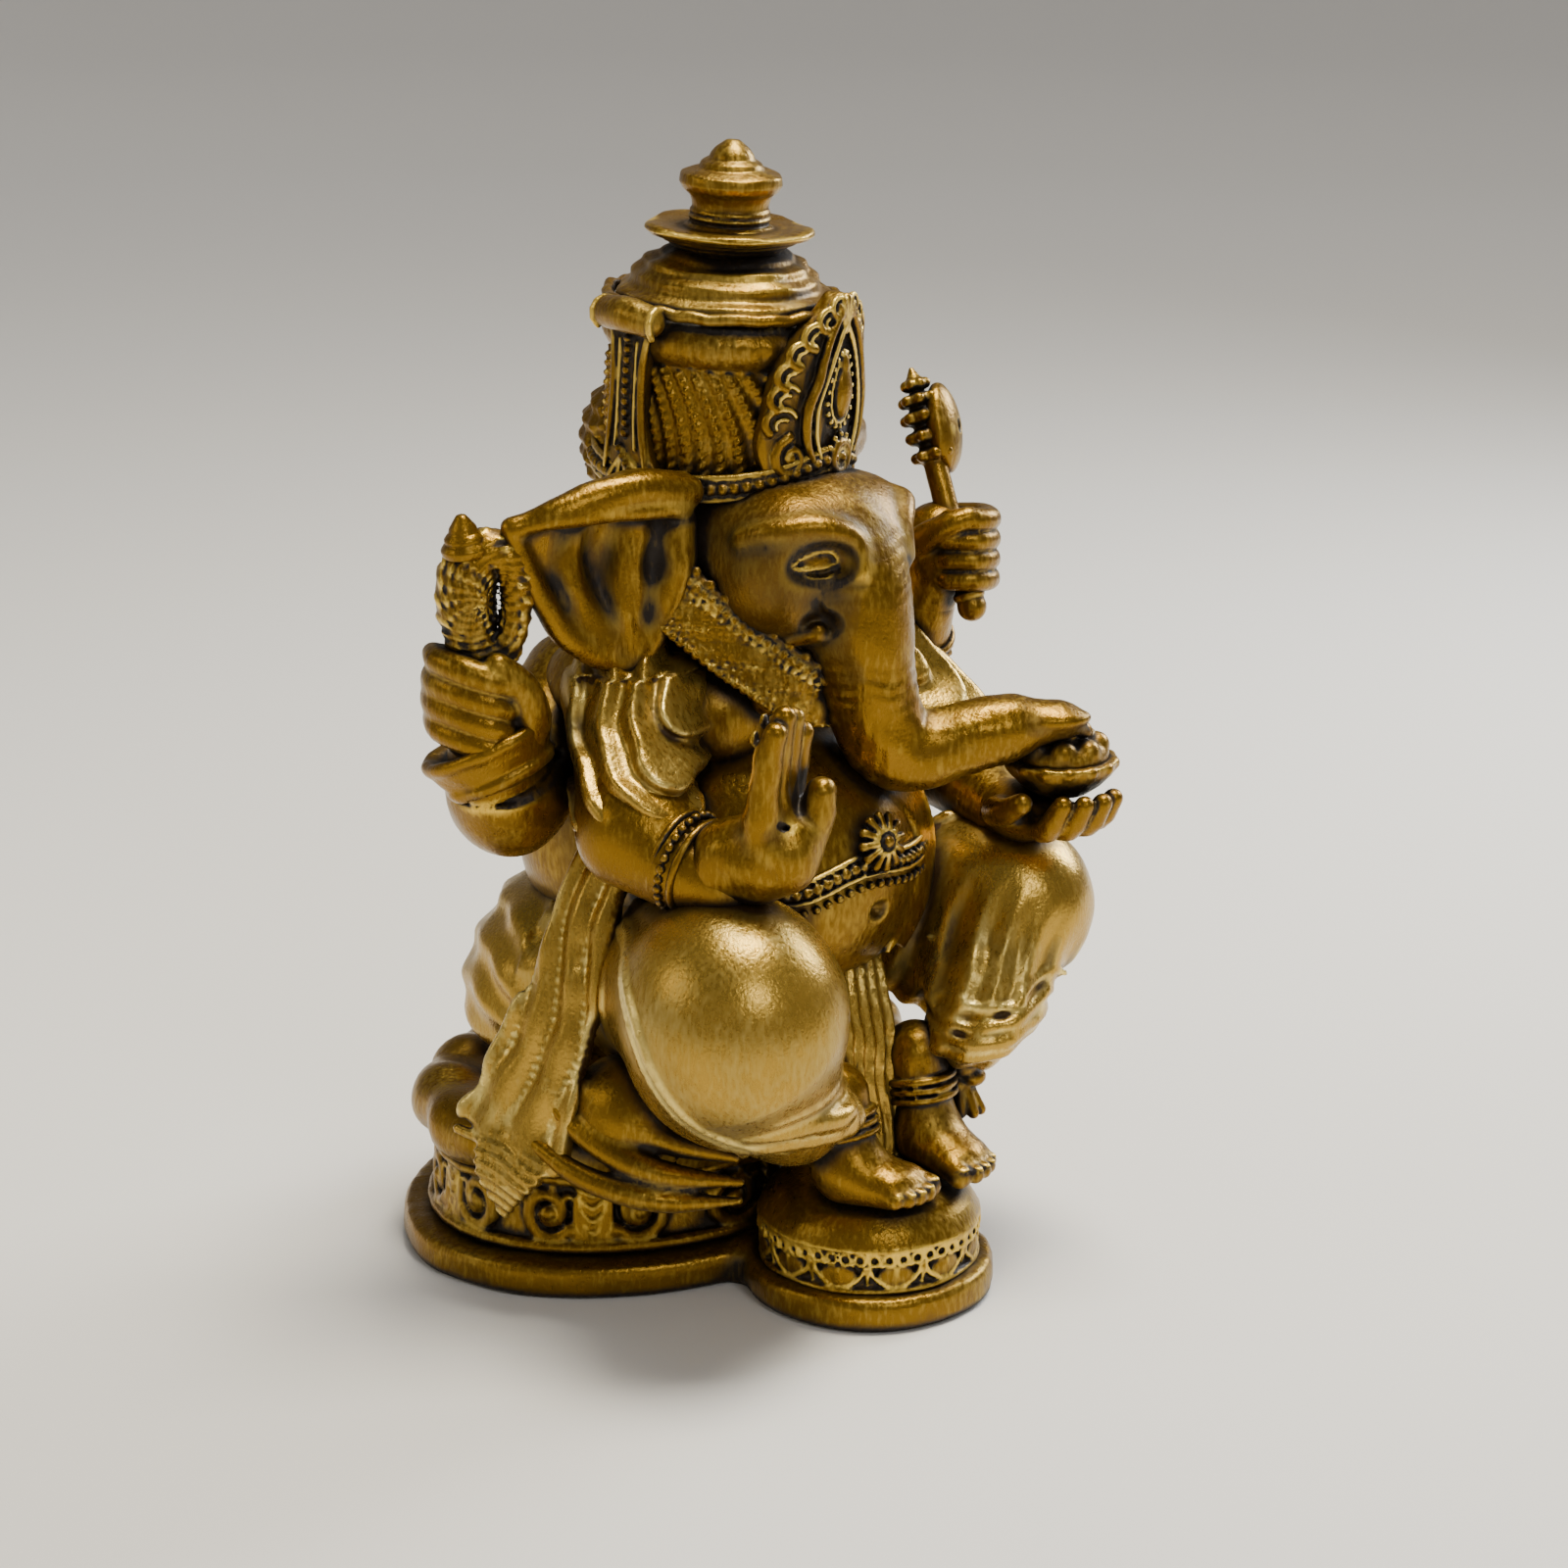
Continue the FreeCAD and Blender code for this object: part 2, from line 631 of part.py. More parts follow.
# ---------------------------------------------------------------- head
HEAD = PLACE(V(0, -d.skull_reach, SKULL_Z), ROT(V(0, 0, 1), d.head_turn))


def on_head(x, y, z):
    """A point in the head's own frame: its centre is the origin and it faces -Y."""
    return tuple(HEAD.multVec(V(x, y, z)))


def head():
    skull = blob(on_head(0, 0, 0), "skull_wide", "skull_deep", "skull_tall", HEAD.Rotation)
    neck = limb(((0, -18, NAPE_Z - 8), "neck_radius + 3"), (on_head(0, 8, 0), "neck_radius"))
    return joined(skull, neck)


def elephant_trunk():
    """Down from the brow, then out to the figure's left, ending over the bowl."""
    bowl = bowl_spot()
    bend = (bowl.x - 39, bowl.y + 22, bowl.z + 17)
    return chain((on_head(-1, -20, 8), "trunk_root"), (on_head(-2, -31, -26), "trunk_root - 2"),
                 (bend, "trunk_bend"), ((bowl.x - 19, bowl.y + 8, bowl.z + 18), "trunk_tip + 2"),
                 ((bowl.x - 5, bowl.y - 2, bowl.z + 17), "trunk_tip"))


def ear(side):
    sweep = ROT(V(0, 0, 1), side * d.ear_sweep)
    root = V(side * (d.skull_wide / 2 - 4), 4, -4)
    centre = root + sweep.multVec(V(side * d.ear_wide / 2, 0, 0))
    return blob(on_head(*centre), "ear_wide", "ear_thick", "ear_tall", HEAD.Rotation.multiply(sweep))


def tusk(side, length):
    root = on_head(side * 13, -22, -18)
    tip = on_head(side * 15, -22 - length * 0.55, -18 - length)
    return limb((root, "tusk_radius + 1"), (tip, "tusk_radius - 1"))


# ---------------------------------------------------------------- crown
LEAN = ROT(V(0, 0, 1), d.head_turn).multiply(ROT(V(1, 0, 0), d.crown_lean))
CROWN_AXIS = V(-1, 14 - d.skull_reach, CAP_Z)


def on_crown(height, turn=0.0):
    """Where a crown piece stands: height up the crown's axis, turned about it."""
    return PLACE(CROWN_AXIS + LEAN.multVec(V(0, 0, height)), LEAN.multiply(ROT(V(0, 0, 1), turn)))


def crown_cap():
    outline = [("0", "0"), ("cap_radius", "0"), ("cap_radius", "cap_tall * 0.6"),
               ("cap_radius - 4", "cap_tall"),
               ("0", "cap_tall")]
    return at(turned(outline), on_crown(0))


def brow_band():
    outline = [("cap_radius - 2", "0"), ("cap_radius + band_thick", "0"),
               ("cap_radius + band_thick", "band_tall"),
               ("cap_radius - 2", "band_tall")]
    return at(turned(outline), on_crown(0))


def plate(thick, arc, turn, top_lean):
    """A piece of wall outside the cap, from the brow band up to the roof."""
    outline = [("cap_radius - 5", "band_tall"), (f"cap_radius + {thick}", "band_tall"),
               (f"cap_radius + {thick} - {top_lean}", "cap_tall"), ("cap_radius - 5", "cap_tall")]
    return at(turned(outline, arc), on_crown(0, turn))


def crown_roof():
    outline = [("0", "0"), ("roof_radius", "0"), ("roof_radius", "roof_tall * 0.25"),
               ("roof_radius - 5", "roof_tall * 0.6"), ("disc_radius - 7", "roof_tall"), ("0", "roof_tall")]
    return at(turned(outline), on_crown(d.cap_tall))


def crown_disc():
    outline = [("0", "0"), ("disc_radius - 8", "0"), ("disc_radius - 5", "disc_tall * 0.5"),
               ("disc_radius", "disc_tall * 0.75"), ("disc_radius", "disc_tall * 0.9"),
               ("spire_radius - 3", "disc_tall"), ("0", "disc_tall")]
    return at(turned(outline), on_crown(d.cap_tall + d.roof_tall))


def crown_spire():
    outline = [("0", "0"), ("spire_radius - 3", "0"), ("spire_radius - 2", "spire_tall * 0.25"),
               ("spire_radius", "spire_tall * 0.35"), ("spire_radius - 3", "spire_tall * 0.55"),
               ("spire_radius - 7", "spire_tall * 0.75"), ("2", "spire_tall"), ("0", "spire_tall")]
    return at(turned(outline), on_crown(d.cap_tall + d.roof_tall + d.disc_tall))


def hair_bun():
    behind = on_crown(d.bun_radius * 0.5).multVec(V(0, d.cap_radius - 8, 0))
    return ball(tuple(behind), "bun_radius")


# ---------------------------------------------------------------- what the hands hold
def noose():
    """A rope loop standing up out of the right rear fist."""
    palm = V(*ARMS["right_rear"].palm)
    centre = palm + V(0, -3, d.fist_radius + d.noose_radius + 3)
    stem = rod(tuple(palm), tuple(centre), "rope_radius - 1", "fist_radius + rope_radius - 1")
    return joined(ring(tuple(centre), (0.5, 1, 0.1), "noose_radius", "rope_radius"), stem)


def noose_knot():
    palm = V(*ARMS["right_rear"].palm)
    centre = palm + V(-5, -1, d.fist_radius + 2 * d.noose_radius + d.rope_radius + 4)
    return ball(tuple(centre), "knot_radius")


def axe_line():
    palm = V(*ARMS["left_rear"].palm)
    return palm, V(0, 0.39, 0.92)


def axe_handle():
    palm, up = axe_line()
    return rod(tuple(palm - up * 16), tuple(palm), "handle_radius", "handle_long")


def axe_blade():
    palm, up = axe_line()
    centre = palm + up * 30 + V(5, -3, 0)
    return blob(tuple(centre), "2 * blade_radius", "blade_thick", "2 * blade_radius", ROT(25, 0, 0))


def bowl():
    outline = [("0", "0"), ("bowl_radius - 6", "0"), ("bowl_radius", "bowl_tall"), ("0", "bowl_tall")]
    return at(turned(outline), PLACE(bowl_spot(), ROT()))


def sweets():
    """Round sweets heaped in the bowl: a ring of them and one on top."""
    base = bowl_spot() + V(0, 0, d.bowl_tall + 1)
    ring_radius = d.bowl_radius - d.sweet_radius * 1.4
    around = max(3, int(math.pi / math.asin(d.sweet_radius / ring_radius)))
    heap = []
    for i in range(around):
        turn = 2 * math.pi * i / around
        heap.append(ball(tuple(base + V(ring_radius * math.cos(turn), ring_radius * math.sin(turn), 0)),
                         "sweet_radius - 0.1"))
    return group(*heap, ball(tuple(base + V(0, 0, d.sweet_radius * 1.6)), "sweet_radius - 0.1"))


def statue():
    fit("plinth", plinth())
    fit("throne", throne(), stands_on="plinth")
    fit("cushion", cushion(), stands_on="throne")
    fit("footrest", footrest(), stands_on="plinth")
    fit("footrest_beads", footrest_beads())
    fit("throne_scrolls", throne_scrolls())
    fit("hips", hips())
    fit("back", back())
    fit("belly", belly())
    fit("chest", chest())
    for name, leg in LEGS.items():
        fit(f"{name}_leg", leg.limb())
        fit(f"{name}_hem", leg.hem_roll())
        fit(f"{name}_foot", leg.foot())
    fit("axe_handle", axe_handle())
    fit("axe_blade", axe_blade())
    fit("bowl", bowl())
    for name, arm in ARMS.items():
        fit(f"{name}_arm", arm.limb())
    fit("right_front_hand", blessing_hand())
    fit("left_front_hand", offering_hand())
    fit("right_rear_hand", fist("right_rear"))
    fit("left_rear_hand", fist("left_rear"))
    fit("head", head())
    fit("elephant_trunk", elephant_trunk())
    fit("right_tusk", tusk(-1, 20))
    fit("left_tusk", tusk(1, 12))
    fit("crown_cap", crown_cap())
    fit("brow_band", brow_band())
    fit("crest_plate", plate("crest_thick", "crest_arc", -90, "1"))
    fit("right_crown_panel", plate("panel_thick", "panel_arc", 170, "0"))
    fit("left_crown_panel", plate("panel_thick", "panel_arc", 10, "0"))
    fit("crown_roof", crown_roof(), stands_on="crown_cap")
    fit("crown_disc", crown_disc(), stands_on="crown_roof")
    fit("crown_spire", crown_spire(), stands_on="crown_disc")
    fit("hair_bun", hair_bun())
    fit("right_ear", ear(-1))
    fit("left_ear", ear(1))
    fit("girdle", girdle())
    fit("girdle_flower", girdle_flower())
    fit("necklace", necklace())
    fit("front_pleats", front_pleats())
    fit("ankle_tassel", ankle_tassel())
    fit("right_shawl", ARMS["right_front"].shawl(0.75))
    fit("left_shawl", ARMS["left_front"].shawl(0.6))
    fit("side_sash", side_sash())
    fit("right_front_cuff", ARMS["right_front"].cuff(0.5))
    fit("right_rear_cuff", ARMS["right_rear"].cuff(0.5))
    fit("left_rear_cuff", ARMS["left_rear"].cuff(0.5))
    fit("noose", noose())
    fit("noose_knot", noose_knot())
    fit("sweets", sweets())


statue()
doc.recompute()
for obj in doc.Objects:
    if {"Invalid", "Error"} & set(obj.State):
        raise RuntimeError(f"{obj.Label} failed: {obj.State}")
os.makedirs("parts", exist_ok=True)
for label, piece in PIECES.items():
    shape = piece.Shape
    if shape.isNull() or not shape.isValid() or not shape.Solids:
        raise RuntimeError(f"{label} is not a valid solid")
    shape.exportStep(f"parts/{label}.step")
    box = shape.BoundBox
    print(f"{label}: {len(shape.Solids)} solid(s), {shape.Volume / 1000:.2f} ml, top {box.ZMax:.1f}")
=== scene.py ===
"""The seated elephant-headed deity: every element is sculpted as a distance field and skinned into a mesh."""
import math
from concurrent.futures import ThreadPoolExecutor

import bpy
import numpy as np
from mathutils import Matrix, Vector


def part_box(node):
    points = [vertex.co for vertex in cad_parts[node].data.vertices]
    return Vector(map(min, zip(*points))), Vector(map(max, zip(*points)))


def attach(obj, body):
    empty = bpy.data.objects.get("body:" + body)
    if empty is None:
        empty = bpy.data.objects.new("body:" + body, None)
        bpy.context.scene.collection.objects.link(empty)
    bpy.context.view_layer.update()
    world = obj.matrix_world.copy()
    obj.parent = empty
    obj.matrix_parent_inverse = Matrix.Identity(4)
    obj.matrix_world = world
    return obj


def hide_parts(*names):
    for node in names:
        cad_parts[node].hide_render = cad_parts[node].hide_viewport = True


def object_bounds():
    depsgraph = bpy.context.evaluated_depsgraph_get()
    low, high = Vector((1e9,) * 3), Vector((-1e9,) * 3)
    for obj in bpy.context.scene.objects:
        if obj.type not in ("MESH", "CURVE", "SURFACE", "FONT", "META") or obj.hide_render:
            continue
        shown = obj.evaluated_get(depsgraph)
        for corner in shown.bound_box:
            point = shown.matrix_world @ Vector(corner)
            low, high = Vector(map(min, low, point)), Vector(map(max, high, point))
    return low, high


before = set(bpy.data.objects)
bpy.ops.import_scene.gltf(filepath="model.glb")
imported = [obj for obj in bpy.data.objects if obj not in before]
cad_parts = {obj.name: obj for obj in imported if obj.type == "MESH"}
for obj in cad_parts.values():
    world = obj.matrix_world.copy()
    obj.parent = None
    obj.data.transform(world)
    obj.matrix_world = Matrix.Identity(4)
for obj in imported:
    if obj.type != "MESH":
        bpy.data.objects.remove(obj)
CAD_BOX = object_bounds()
MM = 0.001
FAR = 9.0


# ---------------------------------------------------------------- the frame, in millimetres
def box_mm(node):
    """A node's box in millimetres."""
    low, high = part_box(node)
    return np.array(low) / MM, np.array(high) / MM


def around(node, rot=None, shift=(0, 0, 0)):
    """Places points beside the middle of a node's box; sizes given after x, y and z stay with the point."""
    low, high = box_mm(node)
    middle = np.round((low + high) / 2) + np.array(shift)

    def spot(x, y, z, *sizes):
        offset = np.array([x, y, z], float)
        return np.concatenate([middle + (offset if rot is None else rot @ offset), sizes])

    return spot


def turn_z(degrees):
    c, s = math.cos(math.radians(degrees)), math.sin(math.radians(degrees))
    return np.array([[c, -s, 0], [s, c, 0], [0, 0, 1.0]])


def turn_x(degrees):
    c, s = math.cos(math.radians(degrees)), math.sin(math.radians(degrees))
    return np.array([[1.0, 0, 0], [0, c, -s], [0, s, c]])


def turn_y(degrees):
    c, s = math.cos(math.radians(degrees)), math.sin(math.radians(degrees))
    return np.array([[c, 0, s], [0, 1.0, 0], [-s, 0, c]])


def unit(v):
    """The direction of v, one long."""
    v = np.asarray(v, float)
    return v / np.linalg.norm(v)


# ---------------------------------------------------------------- clay: forms with a box and a distance
class Form:
    """A lump of clay: a box that holds it, and the distance from its surface, negative inside."""

    def __init__(self, low, high, dist):
        self.low = np.asarray(low, float)
        self.high = np.asarray(high, float)
        self.dist = dist

    def reach(self, p, pad):
        return np.all((p > self.low - pad) & (p < self.high + pad), axis=1)


def soft_min(a, b, k):
    """The smaller of two distances, rounded over k where they are close."""
    if k <= 0:
        return np.minimum(a, b)
    h = np.maximum(k - np.abs(a - b), 0) / k
    return np.minimum(a, b) - h * h * k * 0.25


def soft_max(a, b, k):
    return -soft_min(-a, -b, k)


def merge(*forms, k=0.0):
    """Forms pressed together, with k millimetres of softness where they meet."""
    low = np.min([f.low for f in forms], axis=0)
    high = np.max([f.high for f in forms], axis=0)

    def dist(p):
        d = np.full(len(p), FAR, np.float32)
        for f in forms:
            close = f.reach(p, FAR)
            if close.all():
                d = soft_min(d, f.dist(p), k)
            elif close.any():
                d[close] = soft_min(d[close], f.dist(p[close]), k)
        return d

    return Form(low, high, dist)


def carve(form, *tools, k=0.0):
    """The form with the tools taken out of it."""
    def dist(p):
        d = form.dist(p)
        for tool in tools:
            close = tool.reach(p, FAR)
            if close.any():
                d[close] = soft_max(d[close], -tool.dist(p[close]), k)
        return d

    return Form(form.low, form.high, dist)


def relief(form, height, depth):
    """Raises the surface by height(p), at most depth, where p is close to it."""

    def dist(p):
        d = form.dist(p)
        close = np.abs(d) < depth + 2.5
        if close.any():
            d[close] -= height(p[close]).astype(np.float32)
        return d

    return Form(form.low - depth, form.high + depth, dist)


def ball(c, r):
    """A round ball."""
    c = np.asarray(c, float)
    return Form(c - r, c + r, lambda p: np.linalg.norm(p - c, axis=1) - r)


def lump(c, radii, rot=None):
    """An ellipsoid with the given radii along the columns of rot."""
    c, radii = np.asarray(c, float), np.asarray(radii, float)
    rot = np.eye(3) if rot is None else rot
    half = np.sqrt(((rot * radii) ** 2).sum(axis=1))

    def dist(p):
        q = (p - c) @ rot
        k0 = np.linalg.norm(q / radii, axis=1)
        k1 = np.linalg.norm(q / radii ** 2, axis=1) + 1e-6
        return k0 * (k0 - 1) / k1

    return Form(c - half, c + half, dist)


def bar(a, b, ra, rb):
    """A round bar from a to b that tapers from ra to rb, with round ends."""
    a, b = np.asarray(a, float), np.asarray(b, float)
    low = np.minimum(a - ra, b - rb)
    high = np.maximum(a + ra, b + rb)
    along = b - a
    span = along @ along + 1e-9

    def dist(p):
        q = p - a
        h = np.clip(q @ along / span, 0, 1)
        return np.linalg.norm(q - h[:, None] * along, axis=1) - (ra + (rb - ra) * h)

    return Form(low, high, dist)


def settle(form, points, lift=0.0):
    """Points moved onto the form's surface, lift millimetres proud; sizes stay with them."""
    pts = np.array(points, float)
    for _ in range(4):
        p = pts[:, :3]
        d = form.dist(p)
        slope = np.stack([form.dist(p + np.eye(3)[i] * 0.2) - d for i in range(3)], axis=1) / 0.2
        slope /= np.linalg.norm(slope, axis=1, keepdims=True) + 1e-6
        pts[:, :3] -= slope * (d - lift)[:, None]
    return pts


def smooth_path(points, per_span=6):
    """A Catmull-Rom curve through the points, whatever each point holds."""
    pts = np.asarray(points, float)
    pts = np.vstack([2 * pts[0] - pts[1], pts, 2 * pts[-1] - pts[-2]])
    out = []
    for i in range(1, len(pts) - 2):
        for t in np.arange(per_span) / per_span:
            p0, p1, p2, p3 = pts[i - 1:i + 3]
            out.append(0.5 * (2 * p1 + (p2 - p0) * t + (2 * p0 - 5 * p1 + 4 * p2 - p3) * t * t
                              + (3 * p1 - p0 - 3 * p2 + p3) * t ** 3))
    out.append(pts[-2])
    return np.array(out)


def coil(points, per_span=6, k=0.0):
    """A tube along a smooth path. Each point is (x, y, z, radius)."""
    path = smooth_path(points, per_span)
    return merge(*[bar(s[:3], e[:3], s[3], e[3]) for s, e in zip(path, path[1:])], k=k)


def ribbon(points, facing, per_span=5, edge=1.0, k=0.25):
    """A flat strip along a smooth path. Each point is (x, y, z, half width, half thickness)."""
    path = smooth_path(points, per_span)
    facing = unit(facing)
    parts = []
    for s, e in zip(path, path[1:]):
        parts.append(plank(s, e, facing, edge))
    return merge(*parts, k=k)


def plank(s, e, facing, edge):
    """One straight piece of a ribbon."""
    a, b = s[:3], e[:3]
    along = unit(b - a)
    side = unit(np.cross(along, facing))
    up = np.cross(side, along)
    length = np.linalg.norm(b - a)
    reach = max(s[3], e[3]) + max(s[4], e[4])

    def dist(p):
        q = p - a
        t = q @ along
        h = np.clip(t / length, 0, 1)
        wide = s[3] + (e[3] - s[3]) * h
        thick = s[4] + (e[4] - s[4]) * h
        x = np.abs(q @ side) - wide + edge
        y = np.abs(q @ up) - thick + edge
        z = np.abs(t - length / 2) - length / 2
        outside = np.sqrt(np.maximum(x, 0) ** 2 + np.maximum(y, 0) ** 2 + np.maximum(z, 0) ** 2)
        return outside + np.minimum(np.maximum(np.maximum(x, y), z), 0) - edge

    return Form(np.minimum(a, b) - reach, np.maximum(a, b) + reach, dist)


def hoop(c, axis, big, small, flat=1.0):
    """A ring about an axis. flat under 1 thins its roll along the axis."""
    c, axis = np.asarray(c, float), unit(axis)
    half = (big + small) * np.sqrt(np.maximum(1 - axis ** 2, 0)) + small * np.abs(axis)

    def dist(p):
        q = p - c
        h = q @ axis
        r = np.linalg.norm(q - h[:, None] * axis, axis=1)
        return np.sqrt((r - big) ** 2 + (h / flat) ** 2) - small

    return Form(c - half, c + half, dist)


def spun(c, rot, outline, round_by=0.5):
    """A turned body about the local Z of rot: outline is (radius, height) points from its foot to its top."""
    c = np.asarray(c, float)
    pts = np.array([(0.0, outline[0][1])] + list(outline) + [(0.0, outline[-1][1])])
    big = pts[:, 0].max() + round_by
    corners = np.array([[x, y, z] for x in (-big, big) for y in (-big, big)
                        for z in (pts[:, 1].min() - round_by, pts[:, 1].max() + round_by)]) @ rot.T + c

    def dist(p):
        q = (p - c) @ rot
        u = np.stack([np.hypot(q[:, 0], q[:, 1]), q[:, 2]], axis=1)
        best = np.full(len(u), 1e9)
        inside = np.zeros(len(u), bool)
        for s, e in zip(pts, np.roll(pts, -1, axis=0)):
            edge = e - s
            w = u - s
            t = np.clip(w @ edge / (edge @ edge + 1e-9), 0, 1)
            gap = w - t[:, None] * edge
            best = np.minimum(best, gap[:, 0] ** 2 + gap[:, 1] ** 2)
            over = (s[1] > u[:, 1]) != (e[1] > u[:, 1])
            left = u[:, 0] < edge[0] * (u[:, 1] - s[1]) / (edge[1] + 1e-12) + s[0]
            inside ^= over & left
        return np.where(inside, -1, 1) * np.sqrt(best) - round_by

    return Form(corners.min(axis=0), corners.max(axis=0), dist)


def slab(low, high, edge, waist=0.0):
    """An oval slab that fills the box, with a rounded edge and a wall drawn in by waist."""
    low, high = np.asarray(low, float), np.asarray(high, float)
    c, half = (low + high) / 2, (high - low) / 2

    def dist(p):
        q = p - c
        r = half[:2] - waist * np.maximum(1 - (q[:, 2:] / half[2]) ** 2, 0)
        k0 = np.linalg.norm(q[:, :2] / r, axis=1)
        k1 = np.linalg.norm(q[:, :2] / r ** 2, axis=1) + 1e-6
        x = k0 * (k0 - 1) / k1 + edge
        z = np.abs(q[:, 2]) - half[2] + edge
        return np.hypot(np.maximum(x, 0), np.maximum(z, 0)) + np.minimum(np.maximum(x, z), 0) - edge

    return Form(low, high, dist)


def leaf(c, rot, outline, thick, dish=None, edge=1.2):
    """A leaf of sheet in the local XZ plane of rot, its outline smoothed, its face moved by dish(u, v)."""
    c = np.asarray(c, float)
    path = smooth_path(list(outline) + [outline[0]], 4)[:-1]
    half = np.abs(path).max() + thick

    def dist(p):
        q = (p - c) @ rot
        u = q[:, [0, 2]]
        w = q[:, 1] - (dish(u[:, 0], u[:, 1]) if dish else 0)
        flat = outline_gap(u, path) + edge
        deep = np.abs(w) - thick / 2 + edge
        outside = np.hypot(np.maximum(flat, 0), np.maximum(deep, 0))
        return outside + np.minimum(np.maximum(flat, deep), 0) - edge

    return Form(c - half, c + half, dist)


def outline_gap(u, path):
    """Distance from a closed flat outline, negative inside."""
    best = np.full(len(u), 1e9)
    inside = np.zeros(len(u), bool)
    for s, e in zip(path, np.roll(path, -1, axis=0)):
        edge = e - s
        w = u - s
        t = np.clip(w @ edge / (edge @ edge + 1e-9), 0, 1)
        gap = w - t[:, None] * edge
        best = np.minimum(best, gap[:, 0] ** 2 + gap[:, 1] ** 2)
        over = (s[1] > u[:, 1]) != (e[1] > u[:, 1])
        inside ^= over & (u[:, 0] < edge[0] * (u[:, 1] - s[1]) / (edge[1] + 1e-12) + s[0])
    return np.where(inside, -1, 1) * np.sqrt(best)


def studs(points, radius):
    """A row of small balls."""
    pts = np.array(points, float)[:, :3]

    def dist(p):
        d = np.full(len(p), FAR, np.float32)
        for c in pts:
            close = np.all(np.abs(p - c) < radius + 2.5, axis=1)
            if close.any():
                d[close] = np.minimum(d[close], np.linalg.norm(p[close] - c, axis=1) - radius)
        return d

    return Form(pts.min(axis=0) - radius, pts.max(axis=0) + radius, dist)


def spaced(points, gap):
    """Points every gap millimetres along a smooth path."""
    path = smooth_path(points, 8)
    run = np.concatenate([[0], np.cumsum(np.linalg.norm(np.diff(path[:, :3], axis=0), axis=1))])
    stops = np.linspace(0, run[-1], max(2, int(round(run[-1] / gap)) + 1))
    return np.stack([np.interp(stops, run, path[:, i]) for i in range(path.shape[1])], axis=1)


def volute(place, u, v, size, start, turns, roll, steps=14):
    """A rolled scroll about (u, v), put onto the work by place(u, v). Negative turns roll clockwise."""
    pts = []
    for i in range(steps + 1):
        t = i / steps
        r = size * (1 - 0.78 * t)
        a = math.radians(start) + turns * 2 * math.pi * t
        pts.append((*place(u + r * math.cos(a), v + r * math.sin(a)), roll * (1 - 0.35 * t)))
    return merge(coil(pts, 1), ball(place(u, v), roll * 0.95))


def uneven(form, height, scale, seed, depth):
    """The form with a soft unevenness of the given height and scale."""
    return relief(form, lambda p: height * wander(p, scale, seed), depth)


def traced(place, rows):
    """Path points put onto the work: each row is place's arguments and then a size."""
    return [(*place(*row[:-1]), row[-1]) for row in rows]


def wander(p, scale, seed=0):
    """A soft unevenness between about -1 and 1 with lumps of the given size."""
    q = p * (2 * math.pi / scale)
    s = seed * 1.7
    return (np.sin(q[:, 0] * 0.61 + q[:, 1] * 0.37 + s) * np.sin(q[:, 1] * 0.53 - q[:, 2] * 0.71 + 1.3 * s)
            + np.sin(q[:, 2] * 0.67 + q[:, 0] * 0.29 + 2.1 + s)
            * np.sin(q[:, 1] * 0.83 + q[:, 0] * 0.41 - s)) * 0.6


def folds(along, across, spacing, sharp=1.6):
    """Cloth folds: rounded ridges spacing apart over across, sharp valleys, straying along the cloth."""
    phase = (across / spacing + 0.35 * np.sin(along / spacing * 0.45)
             + 0.2 * np.sin(along / spacing * 0.9 + 1.0))
    return 1 - np.abs(np.sin(math.pi * phase)) ** sharp


# ---------------------------------------------------------------- skin: a surface net over the clay
def field_grid(form, step, pad=2.0):
    """The form's distances on a grid, worked out finely only where the surface is close."""
    block = 4
    low = np.floor((form.low - pad) / step) * step
    count = np.ceil((form.high + pad - low) / step / block).astype(int)
    centre = [low[i] + (np.arange(count[i]) * block + block / 2 - 0.5) * step for i in range(3)]
    mid = np.stack(np.meshgrid(*centre, indexing="ij"), axis=-1).reshape(-1, 3)
    coarse = form.dist(mid).reshape(count).astype(np.float32)
    values = np.repeat(np.repeat(np.repeat(coarse, block, 0), block, 1), block, 2)
    cells = values.reshape(count[0], block, count[1], block, count[2], block)
    bi, bj, bk = np.nonzero(np.abs(coarse) < step * block * 1.15 + 0.8)
    local = (np.stack(np.meshgrid(*[np.arange(block)] * 3, indexing="ij"), axis=-1)).reshape(-1, 3)
    first = np.stack([bi, bj, bk], axis=1) * block
    for start in range(0, len(first), 4000):
        part = slice(start, start + 4000)
        spots = (first[part][:, None, :] + local[None]).reshape(-1, 3) * step + low
        found = form.dist(spots).reshape(-1, block, block, block)
        cells[bi[part], :, bj[part], :, bk[part], :] = found
    return values, low


